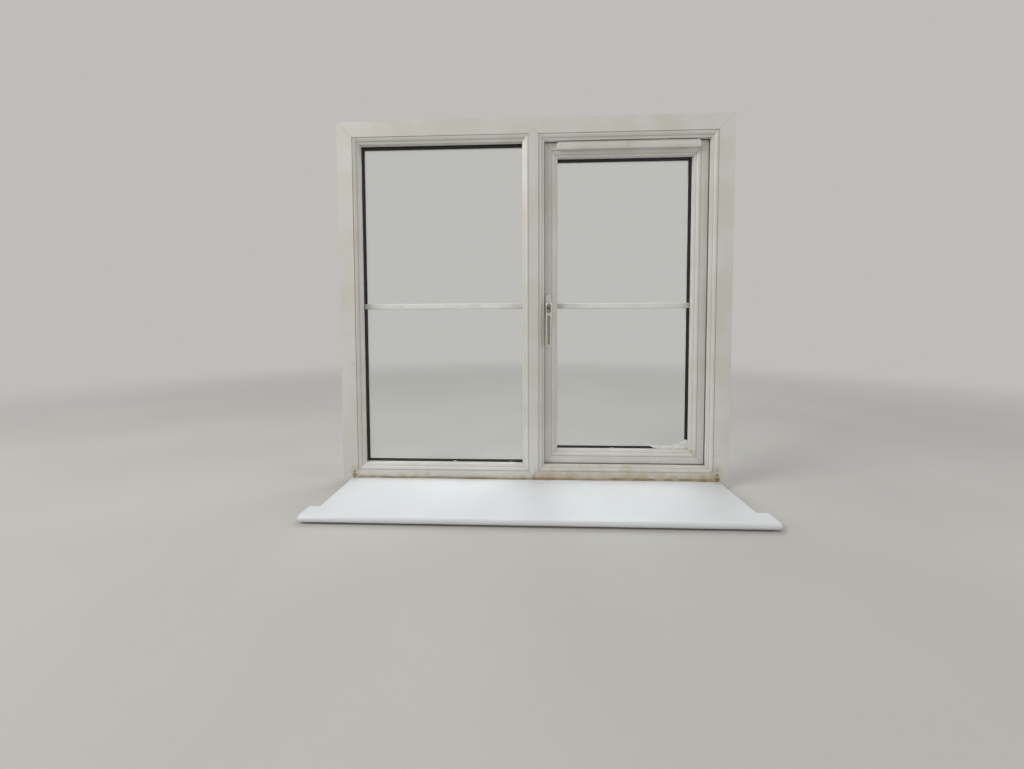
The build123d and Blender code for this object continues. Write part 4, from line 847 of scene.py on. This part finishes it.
# %% Give every CAD piece its finish
finish_of_slot = {
    "frame_profile": frame_plastic,
    "casement_profile": casement_plastic,
    "board_plastic": board_foil,
    "clear_glass": pane_glass,
    "black_spacer": spacer_black,
    "bar_plastic": bar_paint,
    "light_gasket": pale_rubber,
    "black_gasket": black_rubber,
    "packer_plastic": packer_blue,
    "zinc_steel": zinc_plate,
    "handle_metal": handle_plate,
    "handle_base_finish": handle_moulding,
    "key_metal": key_steel,
    "vent_plastic": vent_moulding,
    "cap_plastic": cap_moulding,
    "sealant": pale_rubber,
}
slot_of_node = {row["node"]: row["material_slot"] for row in frame["record"]["subparts"]}
for name, piece in nodes.items():
    finish = finish_of_slot[slot_of_node[name]]
    for index in range(len(piece.material_slots)):
        piece.material_slots[index].material = finish
print("finished CAD pieces:", len(nodes))

# %% [markdown]
# Sealant is squeezed along the joint between board and frame and smoothed with a finger, so its edges
# wander and it is thicker in some places. A plain CAD bar can't show that, so this bead is built from
# rings of points along the joint, each ring a little different, and it replaces the bar.

# %% Wandering bead of sealant
def wander(seed, count, step, limit):
    """A smooth random walk that stays near zero: one number for each ring."""
    draw = random.Random(seed)
    values = []
    pace = 0.0
    level = 0.0
    for _ in range(count):
        pace = 0.85 * pace + draw.uniform(-step, step)
        level = 0.94 * (level + pace)
        values.append(max(-limit, min(limit, level)))
    return values


def tube_from_rings(name, rings, finish):
    """A closed mesh from rings of points, capped at both ends."""
    mesh = bmesh.new()
    rows = [[mesh.verts.new(point) for point in ring] for ring in rings]
    for first, second in zip(rows, rows[1:]):
        for index in range(len(first)):
            after = (index + 1) % len(first)
            face = mesh.faces.new((first[index], first[after], second[after], second[index]))
            face.smooth = True
    mesh.faces.new(rows[0][::-1])
    mesh.faces.new(rows[-1])
    bmesh.ops.recalc_face_normals(mesh, faces=mesh.faces)
    data = bpy.data.meshes.new(name)
    mesh.to_mesh(data)
    mesh.free()
    data.materials.append(finish)
    return put_in_scene(name, data)


print("bead helpers ready")

# %% Sealant finish, with painted shade in the joint
# aged sealant tones, darkened as painted shade in the joint
SEALANT_TAN = (0.46, 0.40, 0.30, 1.0)
SEALANT_BROWN = (0.27, 0.21, 0.13, 1.0)
sealant_finish, seal_tree, seal_shader = new_finish("sealant_aged_and_shaded")
seal_skin, seal_colour = two_tones(
    seal_tree, 500.0, 24.0, SEALANT_TAN, SEALANT_BROWN, low=0.35, high=0.65)
seal_low, seal_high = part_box("board_sealant")
# a dark line at the bead's foot: grime and painted shade in the corner with the board
seal_foot_grime_and_shade = use(seal_tree, tidemark, Level=seal_low.z, Reach=0.003, Patchiness=0.4).outputs["Mask"]
seal_colour = tint(seal_tree, seal_colour, seal_foot_grime_and_shade, strength=0.6, over=BROWN_GRIME_AND_SHADE)
seal_spots = [
    ((-0.612, -0.037, 0.027), 0.012), ((0.612, -0.037, 0.027), 0.016), ((0.005, -0.037, 0.028), 0.008),
]
seal_stains = stains_at(seal_tree, seal_spots)
seal_colour = tint(seal_tree, seal_colour, seal_stains, strength=0.8, over=BROWN_GRIME_AND_SHADE)
coat(seal_tree, seal_shader, seal_colour, patchy(seal_tree, seal_skin, low=0.45, high=0.7))
bumpy(seal_tree, seal_shader, seal_skin.outputs["Height"], depth=0.0004)
print("sealant:", sealant_finish.name)

# %% Build the bead
BEAD_RINGS = 240
BEAD_TALLER = 1.15
BEAD_DEPTH_SHARE = 0.9
HOLLOW_DEPTH = 0.42
HOLLOW_HEIGHT = 0.40
BEAD_SINK = 0.0004
BEAD_LIP = 0.0003
BEAD_SAG = 0.0002
up_walk = wander(11, BEAD_RINGS, step=0.00035, limit=0.0016)
out_walk = wander(23, BEAD_RINGS, step=0.0003, limit=0.0011)
back = seal_high.y
foot = seal_low.z
bead_height = seal_high.z - foot
bead_depth = back - seal_low.y
bead_rings = []
for index in range(BEAD_RINGS):
    x = seal_low.x + (seal_high.x - seal_low.x) * index / (BEAD_RINGS - 1)
    top = foot + bead_height * BEAD_TALLER + up_walk[index]
    front = back - bead_depth * BEAD_DEPTH_SHARE - out_walk[index]
    hollow_y = back - (back - front) * HOLLOW_DEPTH
    hollow_z = foot + (top - foot) * HOLLOW_HEIGHT
    outline = [
        (back + BEAD_SINK, foot - BEAD_SINK),
        (back + BEAD_SINK, top),
        (back - BEAD_LIP, top),
        ((back + hollow_y) / 2, (top + hollow_z) / 2 - BEAD_SAG),
        (hollow_y, hollow_z),
        ((front + hollow_y) / 2, (foot + hollow_z) / 2 - BEAD_SAG),
        (front, foot + BEAD_LIP),
        (front, foot - BEAD_SINK),
    ]
    bead_rings.append([Vector((x, y, z)) for y, z in outline])
sealant_bead = tube_from_rings("sealant_bead", bead_rings, sealant_finish)
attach(sealant_bead, "frame")
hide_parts("board_sealant")
print("bead rings:", BEAD_RINGS)

# %% [markdown]
# A torn scrap of the white film that protected the new glass still clings to the foot of the opening
# light, at its right end. It is a thin sheet with a ragged upper edge and a few curls, so it is drawn
# as a strip whose upper edge follows a list of heights, with small tears between them.

# %% Torn edges of the film
FILM_LEFT = 0.389
FILM_RIGHT = 0.5345
FILM_FOOT = 0.1155

# both edges: a share of the width and the height there
film_top = [
    (0.0, 0.1345), (0.05, 0.1352), (0.12, 0.1325), (0.20, 0.1290), (0.28, 0.1310), (0.36, 0.1275),
    (0.48, 0.1290), (0.58, 0.1270), (0.70, 0.1330), (0.80, 0.1365), (0.90, 0.1480), (0.95, 0.1500),
    (1.0, 0.1440),
]
film_low = [
    (0.0, 0.1330), (0.06, 0.1300), (0.14, 0.1240), (0.24, 0.1180), (0.32, FILM_FOOT), (1.0, FILM_FOOT),
]


def along_edge(edge, share):
    """Height of a torn edge at a share of its length."""
    for (start, low), (end, high) in zip(edge, edge[1:]):
        if share <= end:
            return low + (high - low) * (share - start) / (end - start)
    return edge[-1][1]


print("film width:", round(FILM_RIGHT - FILM_LEFT, 4), "m, points on its upper edge:", len(film_top))

# %% Mesh of the film
FILM_GAP = 0.0002
FILM_THICKNESS = 0.00025
FILM_COLUMNS = 90
FILM_ROWS = 5
LEAST_HEIGHT = 0.0012
RAGGED_EDGE = 0.0006
CURL = 0.0005
SWAY = 0.0004
film_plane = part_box("sash_inner_pane")[0].y
film_draw = random.Random(5)
film_mesh = bmesh.new()
film_points = []
for column in range(FILM_COLUMNS + 1):
    share = column / FILM_COLUMNS
    low_z = along_edge(film_low, share)
    torn_z = along_edge(film_top, share) + film_draw.uniform(-RAGGED_EDGE, RAGGED_EDGE)
    high_z = max(low_z + LEAST_HEIGHT, torn_z)
    x = FILM_LEFT + (FILM_RIGHT - FILM_LEFT) * share
    line = []
    for row in range(FILM_ROWS + 1):
        lift = FILM_GAP + CURL * (row / FILM_ROWS) ** 3 * film_draw.random()
        sway = film_draw.uniform(-SWAY, SWAY) * row / FILM_ROWS
        level = low_z + (high_z - low_z) * row / FILM_ROWS
        line.append(film_mesh.verts.new((x + sway, film_plane - lift, level)))
    film_points.append(line)
for first, second in zip(film_points, film_points[1:]):
    for row in range(FILM_ROWS):
        film_face = film_mesh.faces.new((first[row], first[row + 1], second[row + 1], second[row]))
        film_face.smooth = True
film_data = bpy.data.meshes.new("film_scrap")
film_mesh.to_mesh(film_data)
film_mesh.free()
film_scrap = put_in_scene("film_scrap", film_data)
thicken = film_scrap.modifiers.new("thickness", "SOLIDIFY")
thicken.thickness = FILM_THICKNESS
print("film columns:", FILM_COLUMNS)

# %% Film finish
FILM_WHITE = (0.88, 0.88, 0.87, 1.0)
FILM_GREY = (0.76, 0.75, 0.73, 1.0)
film_finish, film_tree, film_shader = new_finish("torn_film")
film_skin, film_colour = two_tones(film_tree, 500.0, 90.0, FILM_WHITE, FILM_GREY, low=0.4, high=0.65)
coat(film_tree, film_shader, film_colour, patchy(film_tree, film_skin, low=0.4, high=0.6))
bumpy(film_tree, film_shader, film_skin.outputs["Height"], depth=0.0003)
film_data.materials.append(film_finish)
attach(film_scrap, "casement")
print("film:", film_finish.name)

# %% [markdown]
# The studio is a wide pale floor under the window. Far from the window it fades into the colour of the
# world, so no hard horizon shows through the glass. The world is a pale grey for the camera, for
# mirrors and for glass, and a soft light for everything else.

# %% World
BACKDROP = (0.52, 0.508, 0.488, 1.0)
WORLD_LIGHT = 0.30
WORLD_WARM = (1.0, 0.985, 0.96, 1.0)
world = bpy.data.worlds.new("studio_world")
bpy.context.scene.world = world
world.use_nodes = True
world_tree = world.node_tree
world_tree.nodes.clear()
seen_path = world_tree.nodes.new("ShaderNodeLightPath")
seen = strongest(world_tree, [seen_path.outputs["Is Camera Ray"], seen_path.outputs["Is Glossy Ray"],
                              seen_path.outputs["Is Transmission Ray"]])
lit_world = add(world_tree, "ShaderNodeBackground", Color=WORLD_WARM, Strength=WORLD_LIGHT)
seen_world = add(world_tree, "ShaderNodeBackground", Color=BACKDROP, Strength=1.0)
world_output = world_tree.nodes.new("ShaderNodeOutputWorld")
blend_shaders(world_tree, seen, lit_world.outputs[0], seen_world.outputs[0], world_output)
print("world light:", WORLD_LIGHT)

# %% Floor
FLOOR_PALE = (0.58, 0.566, 0.544, 1.0)
FLOOR_SHADE = (0.55, 0.537, 0.515, 1.0)
FLOOR_ROUGHNESS = 0.8
FLOOR_RADIUS = 14.0
FLOOR_SIDES = 96
FADE_START = 1.6
FADE_END = 5.0
floor_mesh = bmesh.new()
bmesh.ops.create_circle(floor_mesh, cap_ends=True, segments=FLOOR_SIDES, radius=FLOOR_RADIUS)
floor_data = bpy.data.meshes.new("studio_floor")
floor_mesh.to_mesh(floor_data)
floor_mesh.free()
floor = put_in_scene("studio_floor", floor_data)
floor_finish, floor_tree, floor_shader = new_finish("floor_paint", Roughness=FLOOR_ROUGHNESS)
away = distance(floor_tree, place_on(floor_tree))
fade = spread(floor_tree, away, FADE_START, FADE_END, 0.0, 1.0)
floor_colour = two_tones(floor_tree, 60.0, 1.5, FLOOR_PALE, FLOOR_SHADE)[1]
fill(floor_tree, floor_shader.inputs["Base Color"], floor_colour)
far_glow = add(floor_tree, "ShaderNodeEmission", Color=BACKDROP, Strength=1.0)
blend_shaders(floor_tree, fade, floor_shader.outputs[0], far_glow.outputs[0],
              find_node(floor_tree, "OUTPUT_MATERIAL"))
floor_data.materials.append(floor_finish)
print("floor radius:", FLOOR_RADIUS, "m")

# %% [markdown]
# The largest lamp stands outside and above, like an overcast sky, and lights the board through the
# glass. The strongest stands in the room, far to the left and high, and lights the faces towards the
# camera. A weak one on the right fills their shadows. None stands straight in front of the window,
# where the panes would mirror it to the camera.

# %% Lamps
def soft_lamp(name, place, target, size, power, colour):
    """A square area lamp that looks at a target."""
    data = bpy.data.lights.new(name, "AREA")
    data.shape = "SQUARE"
    data.size = size
    data.energy = power
    data.color = colour
    lamp = put_in_scene(name, data)
    lamp.location = place
    lamp.rotation_mode = "QUATERNION"
    lamp.rotation_quaternion = (Vector(target) - Vector(place)).to_track_quat("-Z", "Y")
    return lamp


sky_lamp = soft_lamp(
    "sky_lamp", place=(0.7, 2.2, 3.8), target=(0.0, -0.15, 0.3), size=2.6, power=58.0,
    colour=(0.95, 0.98, 1.0))
room_lamp = soft_lamp(
    "room_lamp", place=(-3.3, -1.9, 3.1), target=(0.0, 0.0, 0.5), size=2.0, power=104.0,
    colour=(1.0, 0.98, 0.95))
side_lamp = soft_lamp(
    "side_lamp", place=(3.3, -1.7, 1.7), target=(0.0, 0.0, 0.6), size=1.6, power=26.0,
    colour=(1.0, 0.98, 0.95))
print("lamps:", sky_lamp.name, room_lamp.name, side_lamp.name)

# %% [markdown]
# The last cell sets the view transform to Standard.

# %% Finish
bpy.context.scene.view_settings.view_transform = "Standard"
